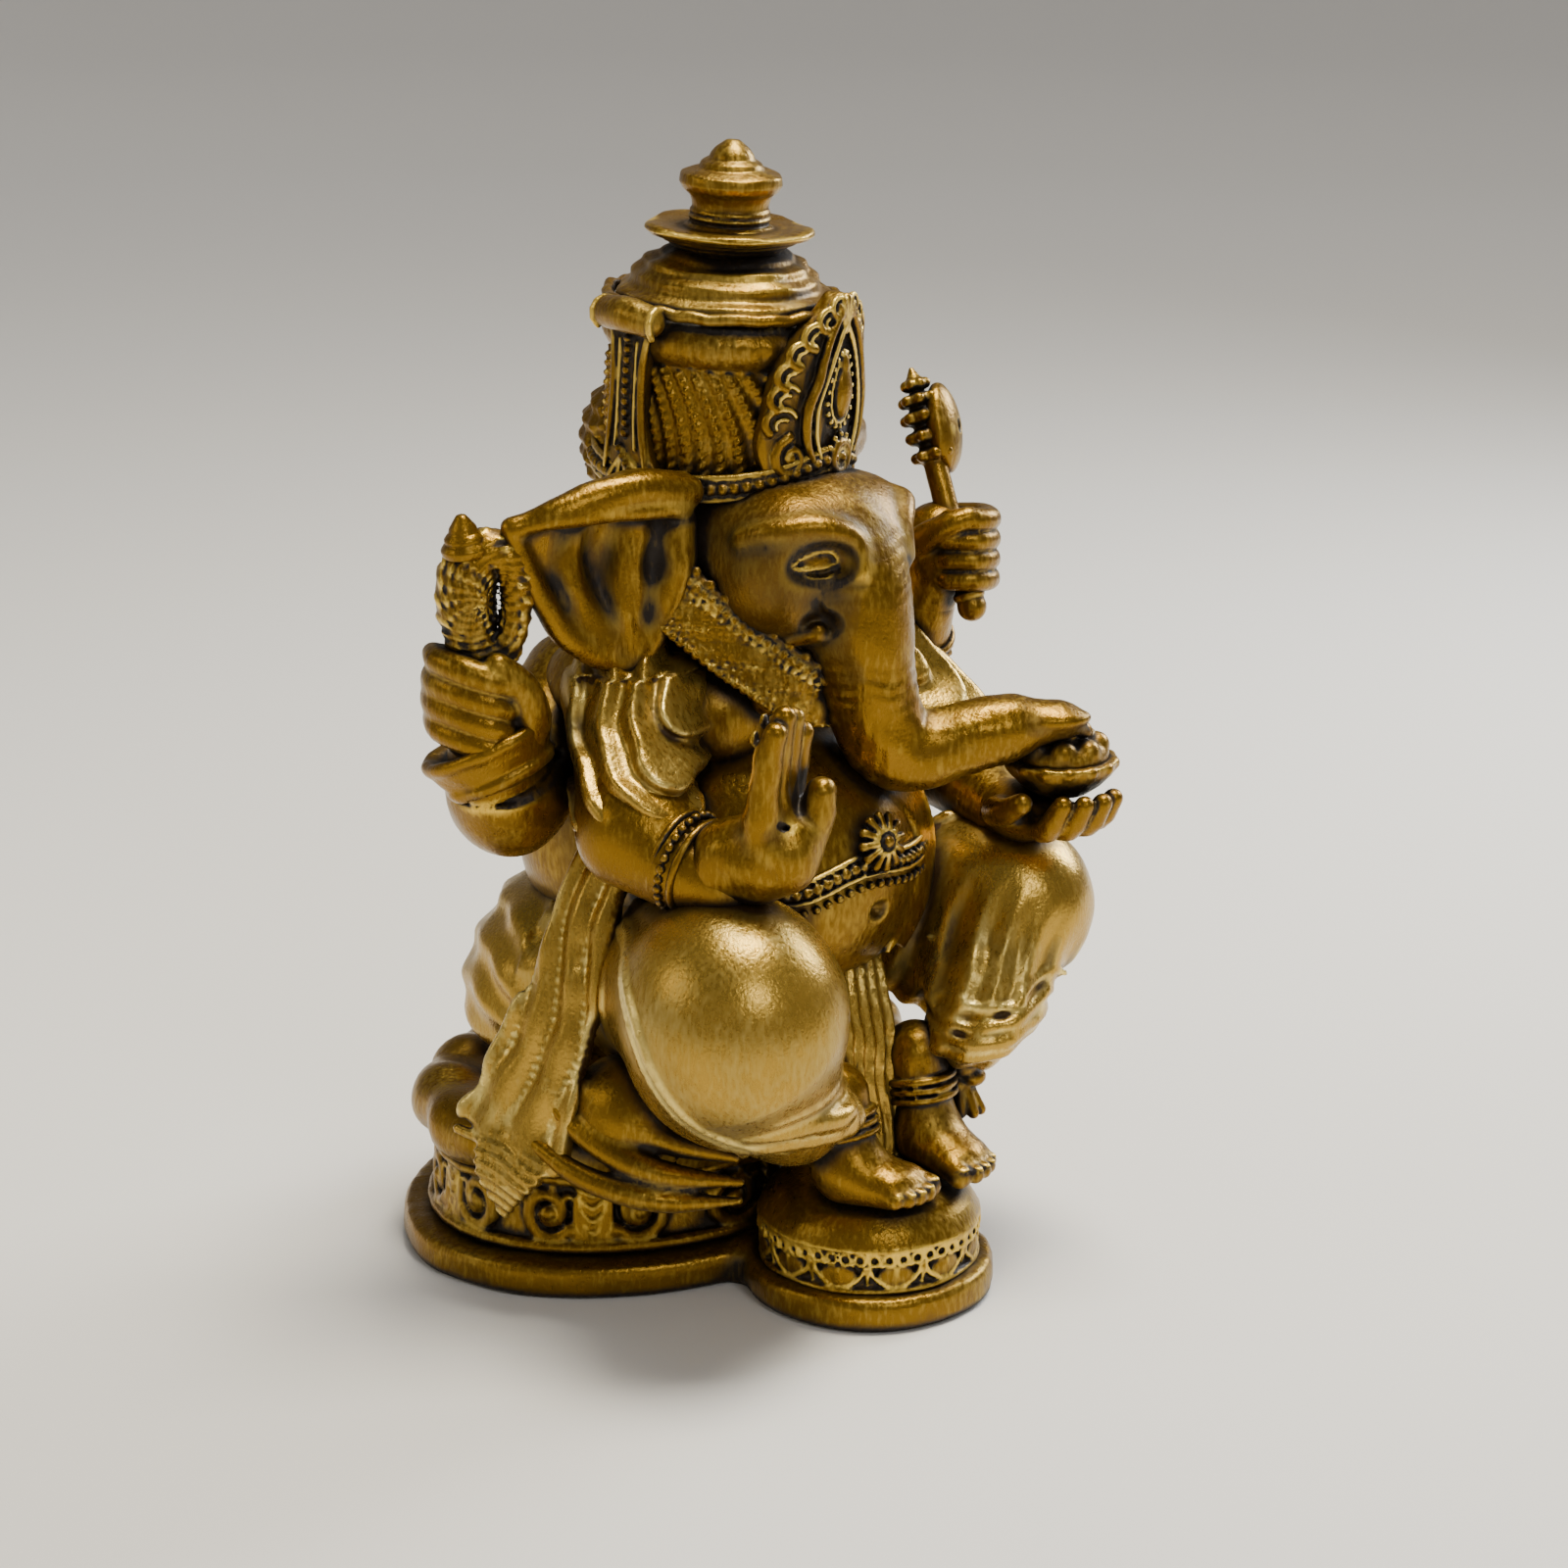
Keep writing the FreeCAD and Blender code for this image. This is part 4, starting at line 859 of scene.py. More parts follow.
def head():
    """The elephant head: twin domes, brow ridges, lowered lids, soft cheeks, mouth and the long trunk."""
    h = around("head", HEAD_TURN)
    t = around("elephant_trunk")
    skull = merge(lump(h(0, 3, -2), (27, 29, 22.5)), lump(h(-11, -19, 2), (15, 13.5, 11)),
                  lump(h(11, -19, 2), (15, 13.5, 11)), lump(h(0, -21, 0), (17, 13, 11)), k=6)
    cheeks = merge(lump(h(-15, -12, -9), (12.5, 17, 15)), lump(h(15, -12, -9), (12.5, 17, 15)),
                   lump(h(-9, -20, -17), (9, 10, 10)), lump(h(9, -20, -17), (9, 10, 10)), k=7)
    body = merge(skull, cheeks, k=8)
    trunk_path = [h(0, -21, 0, 12.5), h(-0.5, -27, -8, 12.8), h(-1.5, -30.5, -20, 12.0),
                  h(-0.5, -32, -34, 10.8),
                  t(-12, 8, -22, 10.0), t(-8, 5, -29, 9.0), t(-1, 0, -29, 8.0), t(7, -6, -26, 7.6),
                  t(15, -11, -24.5, 7.2)]
    trunk = coil(trunk_path, 4, k=3)

    def wrinkles(p):
        run = np.where(p[:, 2] > t(0, 0, -18)[2], p[:, 2], 0.75 * p[:, 0] - 0.5 * p[:, 1])
        fade = 0.5 + 0.5 * np.sin(run * 0.21 + 0.6)
        return 0.11 * fade * np.sin(run * 1.9 + 1.6 * np.sin(p[:, 0] * 0.4)) + 0.18 * wander(p, 8, 2)

    trunk = relief(trunk, wrinkles, 0.6)
    tip = merge(bar(t(15, -11, -24), t(24, -18, -23.5), 6.8, 5.2),
                lump(t(23, -19, -22), (8.5, 5.5, 2.6), turn_z(-35)),
                bar(t(24, -18, -22.5), t(30, -22.5, -26.5), 3.4, 1.2),
                bar(t(17, -11, -20), t(27, -19, -21.5), 2.2, 1.4),
                k=2.5)
    body = merge(body, merge(trunk, tip, k=2.5), k=6)
    face = []
    for side in (-1, 1):
        brow = [h(side * 25, -14, 2, 0.9), h(side * 22, -21, 3.5, 1.6), h(side * 16, -27, 4.0, 2.3),
                h(side * 9, -32, 1, 2.0), h(side * 8, -34, -6, 1.0)]
        face.append(coil(settle(body, brow, 0.2), 4))
    body = merge(body, *face, k=4)
    for side in (-1, 1):
        socket = settle(body, [h(side * 17, -28, -2.5)], 0.8)[0]
        body = carve(body, lump(socket, (7.5, 5.0, 3.6), turn_z(12 + side * 35)), k=3)
        eye = settle(body, [h(side * 17, -28, -3)], -1.0)[0]
        body = merge(body, lump(eye, (5.6, 3.4, 3.0), turn_z(12 + side * 35)), k=1.2)
        lids = []
        for rise, width, radius in ((-1.5, 5.4, 0.65), (2.4, 5.8, 0.5), (-3.4, 4.8, 0.5)):
            lid = [h(side * (17 - width), -31, -3 + rise * 0.2, radius * 0.5),
                   h(side * 15, -31, -3 + rise, radius),
                   h(side * 19, -28, -3 + rise, radius),
                   h(side * (17 + width), -24, -3.5 + rise * 0.3, radius * 0.5)]
            lids.append(coil(settle(body, lid, 0.15), 4))
        body = merge(body, *lids, k=0.5)
        slit = [h(side * 12, -31, -4.6, 0.4), h(side * 17, -30, -5.9, 0.6), h(side * 22, -25, -5.0, 0.3)]
        body = carve(body, coil(settle(body, slit, 0.2), 4), k=0.5)
        body = carve(body, lump(settle(body, [h(side * 11.5, -28, -17)], 1.0)[0], (4.0, 4.5, 2.6),
                                turn_z(12)), k=2)
        smile = [h(side * 9, -30, -15, 0.7), h(side * 13, -28, -14, 0.9), h(side * 17, -25, -11.5, 0.4)]
        body = carve(body, coil(settle(body, smile, 0.3), 4), k=1.2)
        lip = [h(side * 8, -27, -20, 1.6), h(side * 12, -25, -20.5, 2.2), h(side * 15, -20, -19, 1.2)]
        body = merge(body, coil(settle(body, lip, 0.2), 4), k=1.5)
    return uneven(body, 0.16, 10, 5, 0.3)


def tusk(node, root, end, thick):
    """A short thick tusk with a sleeve at its root and a rounded cut end."""
    t = around(node)
    along = unit(t(*end) - t(*root))
    return merge(bar(t(*root), t(*end), thick, thick * 0.86),
                 hoop(t(*root) + along * 3, along, thick * 0.9, 0.9),
                 hoop(t(*root) + along * 5.5, along, thick * 0.86, 0.8), k=0.8)


def right_tusk():
    return tusk("right_tusk", (2, 6, 7.5), (-6.5, 10, -10.5), 4.3)


def left_tusk():
    return tusk("left_tusk", (-1, 3, 6), (4, 1, -8), 4.0)


def ear(node, side):
    """A large leaf-shaped ear: its top edge folded forward, a rolled outer edge and soft folds inside."""
    e = around(node)
    sweep = turn_z(14 * side) if side < 0 else turn_z(38)
    outward = sweep @ np.array([side, 0, 0.0])
    frontward = sweep @ np.array([0, -1.0, 0])
    rot = np.stack([outward, -frontward, (0, 0, 1.0)], axis=1)
    middle = e(0, 0, 0)

    def place(u, v, out=0.0, *sizes):
        return np.concatenate([middle + outward * u + frontward * out + (0, 0, v), sizes])

    outline = [(-22, 21), (-8, 22.5), (6, 19.5), (16, 16), (23.5, 12.5), (21, 5), (16, -5), (9, -16),
               (0, -22.5),
               (-9, -25), (-15, -19), (-22, -8), (-25, 6)]

    def dish(u, v):
        return -3.0 + 5.0 * np.exp(-((u - 4) ** 2 + (v - 1) ** 2) / 150)

    sheet = leaf(middle, rot, outline, 4.2, dish, 1.6)
    rim = coil([place(23.5, 12.5, 4, 1.5), place(21, 5, 4, 2.3), place(16, -5, 3.5, 2.8),
                place(9.5, -15, 3, 3.0),
                place(1, -22, 3, 2.4), place(-8, -25, 3, 1.6)], 4)
    hood = coil([place(-22, 17, 6, 4.0), place(-10, 19, 7, 4.6), place(2, 18, 7.5, 4.4),
                 place(13, 15.5, 6.5, 3.2),
                 place(23, 12.5, 4, 1.2)], 4)
    flap = coil([place(-20, 13, 8, 1.6), place(-8, 14, 9.5, 1.8), place(4, 14, 9.5, 1.7),
                 place(14, 13.5, 8, 1.4),
                 place(22, 12.5, 4.5, 0.8)], 4)
    inner = [coil([place(-9, 12, 4.5, 2.2), place(-7.5, 2, 3.6, 3.2), place(-7, -9, 3.6, 3.2),
                   place(-9, -24, 3.2, 1.2)], 4),
             coil([place(6, 9, 1.5, 1.6), place(7.5, 1, 1.4, 2.8), place(5, -8, 2.0, 2.8),
                   place(-1, -18, 3.0, 1.6)], 4),
             coil([place(-20, 8, 6, 3.4), place(-19, -2, 6, 4.0), place(-16, -12, 5, 3.0),
                   place(-12, -20, 4, 1.6)], 4)]
    body = merge(sheet, rim, hood, k=3)
    body = merge(body, *inner, k=5)
    body = merge(body, flap, k=2.6)
    return uneven(body, 0.22, 9, 3, 0.4)


def right_ear():
    return ear("right_ear", -1)


def left_ear():
    return ear("left_ear", 1)


def necklace():
    """A broad collar falling in a V from behind the ears: a woven field between beads, then a fringe."""
    n = around("chest")
    parts = []
    for side in (-1, 1):
        drop = [(36, -27, 186), (33.5, -37, 177), (25.5, -45.5, 167), (17, -53.5, 158.5), (9, -57.5, 152.5),
                (-1, -58.5, 150)]
        path = [n(side * x, y + 25, z - 151) for x, y, z in drop]
        facing = unit((side * 0.66, -0.74, 0.12))
        band = ribbon([(*q, 6.6, 1.6) for q in path], facing, 4)
        spot = path[2]
        along = unit(path[4] - path[1])
        across = unit(np.cross(along, facing))

        def weave(p, spot=spot, along=along, across=across):
            s, v = (p - spot) @ along, (p - spot) @ across
            return 0.45 * np.sin(s * 2.6 + v) * np.sin(v * 2.4 - s * 0.5) + 0.3 * wander(p, 4, 2)

        parts.append(relief(band, weave, 0.6))
        parts.append(coil([(*(q - facing * 5), 6.0) for q in path], 3))
        smooth = spaced(path, 2.4)
        for lift, radius, step in ((6.2, 1.15, 1), (3.9, 0.7, 1), (-4.4, 0.8, 1), (-6.4, 1.25, 1),
                                   (-9.2, 1.35, 2)):
            row = [q + across * lift * side * -1 + facing * 1.3 for q in smooth[::step]]
            parts.append(studs(row, radius))
        fringe = coil([(*(q + across * -8.2 * side * -1 + facing * 0.2), 1.5) for q in path], 3)
        parts.append(fringe)
    return merge(*parts, k=0.35)


# ---------------------------------------------------------------- arms and hands
def bangles(start, end, radius, count, roll=1.1):
    """Rings and a bead row round a limb."""
    axis = unit(np.asarray(end) - start)
    span = np.linalg.norm(np.asarray(end) - start)
    rings = []
    for i in range(count):
        middle = start + axis * span * i / max(count - 1, 1)
        rings.append(hoop(middle, axis, radius, roll))
    side = unit(np.cross(axis, (0.3, 0.2, 1)))
    other = np.cross(axis, side)
    beads = []
    middle = (start + end) / 2
    number = int(2 * math.pi * radius / 2.6)
    for i in range(number):
        a = 2 * math.pi * i / number
        beads.append(middle + (radius + 0.6) * (math.cos(a) * side + math.sin(a) * other))
    return merge(*rings, studs(beads, 1.25), k=0.4)


def right_rear_arm():
    """Upper arm out of the robe to the elbow, then up to the raised fist, creased where it bends."""
    a = around("right_rear_arm")
    body = merge(bar(a(23, 4, 11), a(-5, -3, -8), 15, 13.5), ball(a(-6, -4, -9), 13.2),
                 coil([a(-6, -4, -9, 13), a(-13, -8, 0, 11.5), a(-16, -10, 10, 9.5)], 4), k=5)
    creases = merge(hoop(a(-9, -6, -1), (-0.35, -0.2, 1), 13.2, 0.9),
                    hoop(a(2, -2, -4), (-1, -0.3, -0.7), 14.8, 0.9))
    return uneven(carve(body, creases, k=2), 0.3, 14, 3, 0.5)


def left_rear_arm():
    """Upper arm back to the elbow, then up to the fist with the axe."""
    a = around("left_rear_arm")
    return merge(bar(a(-17, 13, 3), a(7, 1, -8), 15, 12.5), ball(a(7, 1, -8), 12.5),
                 coil([a(7, 1, -8, 12.3), a(5, -11, 1, 10.2), a(3, -18, 13, 8.6)], 4), k=5)


def right_front_arm():
    """Upper arm out of the shawl, then forward to the raised hand."""
    a = around("right_front_arm")
    body = merge(bar(a(10, 21, 16), a(-6, 1, -8), 15, 13.5),
                 coil([a(-6, 0, -10, 13.5), a(-3, -13, -15, 11), a(0, -24, -17, 8.5)], 4), k=5)
    return uneven(body, 0.3, 14, 5, 0.5)


def left_front_arm():
    """Upper arm out of the shawl, then forward to the bowl."""
    a = around("left_front_arm")
    return merge(bar(a(-12, 21, 17), a(8, 1, -11), 15, 12.5),
                 coil([a(8, 1, -12, 12.5), a(4, -12, -16, 10.2), a(0, -25, -18, 8.2)], 4), k=5)


def right_rear_hand():
    """The raised fist round the noose: the back of the hand outside, four fingers laid slanting across it."""
    f = around("right_rear_hand")
    middle = f(0, 0.5, 0)
    side, face = unit((0.68, -0.73, 0)), unit((-0.73, -0.68, 0))

    def at(across, out, up, r):
        return (*(middle + side * across + face * out + (0, 0, up)), r)

    turned = np.stack([side, face, (0, 0, 1.0)], axis=1)
    palm = merge(lump(middle + (0, 0, 0), (11.5, 9.0, 12.5), turned),
                 lump(middle - side * 6.5 + (0, 0, 1.5), (8.0, 9.0, 12), turned),
                 bar(middle + (2, 1, -11), middle, 9.0, 9.5), k=4)
    fingers = []
    for i in range(4):
        top = 10.0 - i * 5.6
        fingers.append(coil([at(-11.5, 1.5, top + 1.5, 2.6), at(-9, 6.5, top + 1, 3.3),
                             at(-3, 9.8, top - 0.4, 3.6),
                             at(3.0, 10.2, top - 2.6, 3.4), at(7.0 - 0.5 * i, 8.4, top - 4.6, 2.8)], 3))
    thumb = coil([at(9.5, -1, -11, 5.4), at(11.5, 2.5, -3, 5.0), at(9.8, 6, 5, 4.2),
                  at(5.0, 8.6, 10.5, 3.2)], 4)
    hand = merge(palm, merge(*fingers, k=1.0), k=2.6)
    return merge(hand, thumb, k=1.2)


def right_rear_cuff():
    """The flared cuff below the fist: a wide rim and a roll under it."""
    c = around("right_rear_cuff")
    middle = c(-3, -4, 6)
    lean = turn_z(133) @ turn_y(24)
    cup = spun(middle, lean, [(9, -6), (13.0, -5), (13.6, -3.6), (13.0, -2.4), (14.4, 0.5), (15.6, 3.6),
                                                (15.2, 5.2), (13.4, 4.6), (10.5, 2.0)], 0.6)
    rim = hoop(middle + lean @ np.array([0, 0, 4.4]), lean @ np.array([0, 0, 1.0]), 15.4, 1.5)
    return uneven(merge(cup, rim, k=1.0), 0.35, 9, 2, 0.5)


def left_rear_cuff():
    """Three rings and beads above the wrist that holds the axe."""
    c = around("left_rear_cuff")
    return bangles(c(0, -3, -3), c(-1, -7, 3), 9.6, 3)


def right_front_cuff():
    """A thin band with two raised edges and beads between them, above the wrist."""
    c = around("right_front_cuff")
    return bangles(c(0, 0, 0.5), c(1.5, -5.5, -1), 11.2, 2, 1.0)


def left_rear_hand():
    """The fist round the axe handle."""
    f = around("left_rear_hand")
    palm = merge(lump(f(-1, 3, 0), (9.5, 10, 11.5)), bar(f(-2, 7, -15), f(-1, 3, -4), 8.4, 9), k=4)
    fingers = []
    for i in range(4):
        z = 8 - i * 5.2
        fingers.append(coil([f(-6, -6, z + 1, 2.6), f(-1, -10.5, z + 1, 3.0), f(6, -9, z, 3.0),
                             f(10.5, -2, z - 0.5, 2.9), f(9, 6, z - 1, 2.5)], 3))
    thumb = coil([f(-8, 6, -2, 4.4), f(-9.5, -1, 4, 3.8), f(-7, -7, 8, 3.2), f(-3, -10, 10, 2.7)], 4)
    return merge(merge(palm, merge(*fingers, k=0.35), k=1.6), thumb, k=1.0)


def right_front_hand():
    """The raised open hand: a full heel, four fingers held together and the thumb out in front."""
    f = around("right_front_hand")
    row, front = unit((0.94, 0.33, 0)), unit((0.33, -0.94, 0))
    turned_palm = np.stack([front, row, (0, 0, 1.0)], axis=1)
    middle = f(6, -6, -2.5)
    palm = merge(lump(middle + (-2, 2.5, -10), (9.0, 9.6, 11), turned_palm),
                 lump(middle + (0, 0, 0), (5.4, 9.4, 9), turned_palm),
                 bar(f(0, 7, -19), f(0, 3, -12), 8.8, 8.4),
                 lump(middle + front * 5 + (0, 0, -8), (6.6, 7.4, 9), turned_palm), k=4)
    fingers = []
    for i, tip in enumerate((20.5, 23.5, 22.0, 17.5)):
        base = middle + row * (i - 1.5) * 4.5 + (0, 0, 2)
        lean = front * 2.2
        fingers.append(coil([(*base, 3.9), (*(base + front * 0.6 + lean * 0.4 + (0, 0, tip * 0.42)), 3.6),
                             (*(base + front * 0.6 + lean * 0.7 + (0, 0, tip * 0.7)), 3.5),
                             (*(base + front * 1.8 + lean + (0, 0, tip)), 2.8)], 3))
    thumb = coil([(*(middle + front * 5 + row * 4 + (0, 0, -7)), 5.4),
                  (*(middle + front * 8.5 + row * 5 + (0, 0, 0)), 4.5),
                  (*(middle + front * 10 + row * 5 + (0, 0, 6.5)), 3.7)], 4)
    nails = [lump(middle + row * (i - 1.5) * 4.5 - front * 1.2 + (0, 0, tip + 0.5), (0.8, 1.5, 2.0),
                  turned_palm)
             for i, tip in enumerate((20.5, 23.5, 22.0, 17.5))]
    crease = [coil([(*(middle + row * 6 + front * 4.8 + (0, 0, -1)), 0.5),
                    (*(middle + front * 6.5 + (0, 0, -2.5)), 0.7),
                    (*(middle - row * 6 + front * 5.0 + (0, 0, 0.5)), 0.5)], 3)]
    hand = merge(palm, merge(*fingers, *nails, k=0.6), k=2.5)
    hand = carve(merge(hand, thumb, k=2.0), *crease, k=0.8)
    return uneven(hand, 0.15, 7, 1, 0.2)


def left_front_hand():
    """The hand that holds up the bowl, fingers cupped beneath it."""
    f = around("left_front_hand")
    palm = merge(lump(f(0, 3, 0), (10, 11, 6.2), turn_z(-10)), bar(f(2, 15, -2), f(1, 7, -1), 8, 7.5), k=4)
    fingers = []
    for i, (x, y) in enumerate(((-6.5, -8.5), (-2.5, -12), (2.5, -13.5), (7.5, -12.5))):
        fingers.append(coil([f(-4 + i * 3.2, -2, -0.5, 3.4), f(x, y, -0.5 + 0.4 * i, 3.3),
                             f(x + 0.6, y - 4.6, 6.5, 2.5)], 3))
    thumb = coil([f(-8, 7, 1, 4.0), f(-11.5, 1, 3, 3.4), f(-12, -5, 6.5, 2.7)], 4)
    return merge(merge(palm, merge(*fingers, k=0.35), k=2), thumb, k=1.2)


def shawl(node, side, shoulder, elbow, centre):
    """Satin over the shoulder and upper arm, hanging from the neck in deep nested folds."""
    s = around(node)
    upper, lower, hung = s(*shoulder), s(*elbow), s(*centre)
    body = merge(bar(upper, lower, 17.0, 15.0), lump(upper + (0, 4, 4), (16, 15, 10)),
                 lump(upper + (-side * 8, -9, -2), (10, 8, 13)), k=6)
    cut = bar(lower + (side * 4, -8, -16), lower + (side * 14, -20, -18), 9, 9)
    body = carve(body, cut, k=4)
    along, up = unit((-side * 0.68, -0.73, 0)), np.array([0, 0, 1.0])

    def drape(p):
        q = p - hung
        u, v = q @ along, q @ up
        around_it = np.hypot(u, v)
        turned = np.arctan2(v, u) * 14
        deep = np.clip((around_it - 6) / 8, 0.25, 1.0)
        wave = folds(turned, around_it + 1.6 * wander(p, 20, 3), 8.2, 2.0)
        return deep * (3.0 * wave - 1.7) + 0.25 * wander(p, 8, 2)

    return relief(body, drape, 2.8)


def right_shawl():
    return shawl("right_shawl", -1, (6, 8, 9), (-7, -9, -11), (14, -12, 19))


def left_shawl():
    return shawl("left_shawl", 1, (-6, 8, 9), (11, -10, -14), (-14, -12, 19))


HEAD_PIECES = [
    (head, ["head", "elephant_trunk"], "skin_gold", 0.65, 0.29),
    (right_tusk, ["right_tusk"], "skin_gold", 0.5, 0.34),
    (left_tusk, ["left_tusk"], "skin_gold", 0.5, 0.34),
    (right_ear, ["right_ear"], "skin_gold", 0.65, 0.29),
    (left_ear, ["left_ear"], "skin_gold", 0.8, 0.29),
    (necklace, ["necklace"], "trim_gold", 0.6, 0.34),
    (right_rear_arm, ["right_rear_arm"], "skin_gold", 1.0, 0.25),
    (left_rear_arm, ["left_rear_arm"], "skin_gold", 1.0, 0.25),
    (right_front_arm, ["right_front_arm"], "skin_gold", 1.0, 0.25),
    (left_front_arm, ["left_front_arm"], "skin_gold", 1.0, 0.25),
    (right_rear_hand, ["right_rear_hand"], "skin_gold", 0.6, 0.34),
    (left_rear_hand, ["left_rear_hand"], "skin_gold", 0.6, 0.34),
    (right_front_hand, ["right_front_hand"], "skin_gold", 0.5, 0.34),
    (left_front_hand, ["left_front_hand"], "skin_gold", 0.6, 0.34),
    (right_rear_cuff, ["right_rear_cuff"], "trim_gold", 0.6, 0.34),
    (left_rear_cuff, ["left_rear_cuff"], "trim_gold", 0.6, 0.34),
    (right_front_cuff, ["right_front_cuff"], "trim_gold", 0.5, 0.34),
    (right_shawl, ["right_shawl"], "cloth_gold", 0.7, 0.29),
    (left_shawl, ["left_shawl"], "cloth_gold", 0.8, 0.29),
]


# ---------------------------------------------------------------- the crown
CROWN = turn_z(12) @ turn_x(4)
CROWN_RADIUS = 28.5


def round_crown(angle, up, radius=CROWN_RADIUS):
    """A point of the crown: the angle runs round it from the figure's left, 270 is its front."""
    a = math.radians(angle)
    return around("crown_cap", CROWN)(radius * math.cos(a), radius * math.sin(a), up)


def crown_flat(p):
    """Arc position from the front, height and radius on the crown, all in millimetres."""
    q = (p - around("crown_cap", CROWN)(0, 0, 0)) @ CROWN
    angle = np.degrees(np.arctan2(q[:, 1], q[:, 0])) % 360
    radius = np.hypot(q[:, 0], q[:, 1])
    return np.radians(angle - 270) * CROWN_RADIUS, q[:, 2], radius


def crown_cap():
    """The cap of plaited hair below two mouldings, the strands swept down towards the brow."""
    c = around("crown_cap", CROWN)
    body = spun(c(0, 0, 0), CROWN, [(24, -24), (26.5, -18), (27.3, -6), (27.0, 6), (26.2, 9), (27.6, 10.2),
                                    (28.8, 12.5),
                                    (28.9, 15), (27.8, 17), (25.9, 18.2), (25.6, 20), (25.4, 21.5),
                                    (24, 22.5)], 0.6)

    def plaits(p):
        s, v, _ = crown_flat(p)
        side = np.where(s < 0, 1.0, -1.0)
        sweep = -np.abs(s) + 44.0
        phase = (sweep * 0.80 + v * 0.60 + 0.012 * (v - 8) ** 2 - 0.006 * (sweep - 20) ** 2) / 3.9
        strand = 1 - np.abs(np.sin(math.pi * phase)) ** 1.4
        twist = np.sin((sweep * 0.62 - v * 0.78) * 2.9 + math.pi * np.floor(phase + 0.5) + side)
        hair = np.clip((9.0 - v) / 1.5, 0, 1)
        band = np.clip(1 - np.abs(v - 13.8) / 3.2, 0, 1)
        return (hair * (1.25 * strand + 0.45 * twist * strand ** 0.5 - 0.4)
                + band * 0.35 * np.sin(s * 1.5) + 0.1 * side)

    edge = []
    for a in range(0, 360, 8):
        wave = 0.8 * math.sin(a * 0.35) + 0.4 * math.sin(a * 0.17 + 1)
        edge.append((*round_crown(a, 21.3 + wave * 0.5, 28.6 + 0.4 * wave), 1.5))
    cornice = coil(edge + edge[:1], 2)
    lower = coil([(*round_crown(a, 18.6, 27.0), 0.7) for a in range(0, 361, 12)], 2)
    return merge(relief(body, plaits, 1.9), cornice, lower, k=0.8)


def brow_band():
    """Two thin cords with beads between them, arched over the brow."""
    def height(a):
        return -18.5 + 4.5 * math.exp(-((a - 270) / 26) ** 2) + 1.5 * math.cos(math.radians(a - 270) * 2)

    def radius(a):
        return 30.4 + 3.4 * math.exp(-((a - 270) / 50) ** 2)

    cords = []
    for lift, thick in ((-2.6, 0.9), (2.6, 0.9)):
        path = [(*round_crown(a, height(a) + lift, radius(a)), thick) for a in range(0, 361, 8)]
        cords.append(coil(path, 1))
    base = coil([(*round_crown(a, height(a), radius(a) - 1.8), 2.6) for a in range(0, 361, 8)], 1)
    beads = []
    a = 0.0
    while a < 360:
        beads.append(round_crown(a, height(a), radius(a) + 0.5))
        a += 5.2
    return merge(base, merge(*cords), studs(beads, 1.45), k=0.3)


def bent_plate(outline, centre_angle, inner, outer, edge=1.0):
    """A plate bent round the crown: the outline gives arc position from centre_angle, and height."""
    path = smooth_path(list(outline) + [outline[0]], 4)[:-1]
    shift = math.radians(centre_angle - 270) * CROWN_RADIUS

    def dist(p):
        s, v, r = crown_flat(p)
        turn = 2 * math.pi * CROWN_RADIUS
        s = (s - shift + turn / 2) % turn - turn / 2
        flat = outline_gap(np.stack([s * (outer / CROWN_RADIUS) ** 0.5, v], axis=1), path) + edge
        deep = np.abs(r - (inner + outer) / 2) - (outer - inner) / 2 + edge
        outside = np.hypot(np.maximum(flat, 0), np.maximum(deep, 0))
        return outside + np.minimum(np.maximum(flat, deep), 0) - edge

    corners = np.array([round_crown(centre_angle + math.degrees(s / CROWN_RADIUS) * k, v, outer + 1)
                        for s, v in path for k in (0, 1)])
    return Form(corners.min(axis=0) - 2, corners.max(axis=0) + 2, dist)


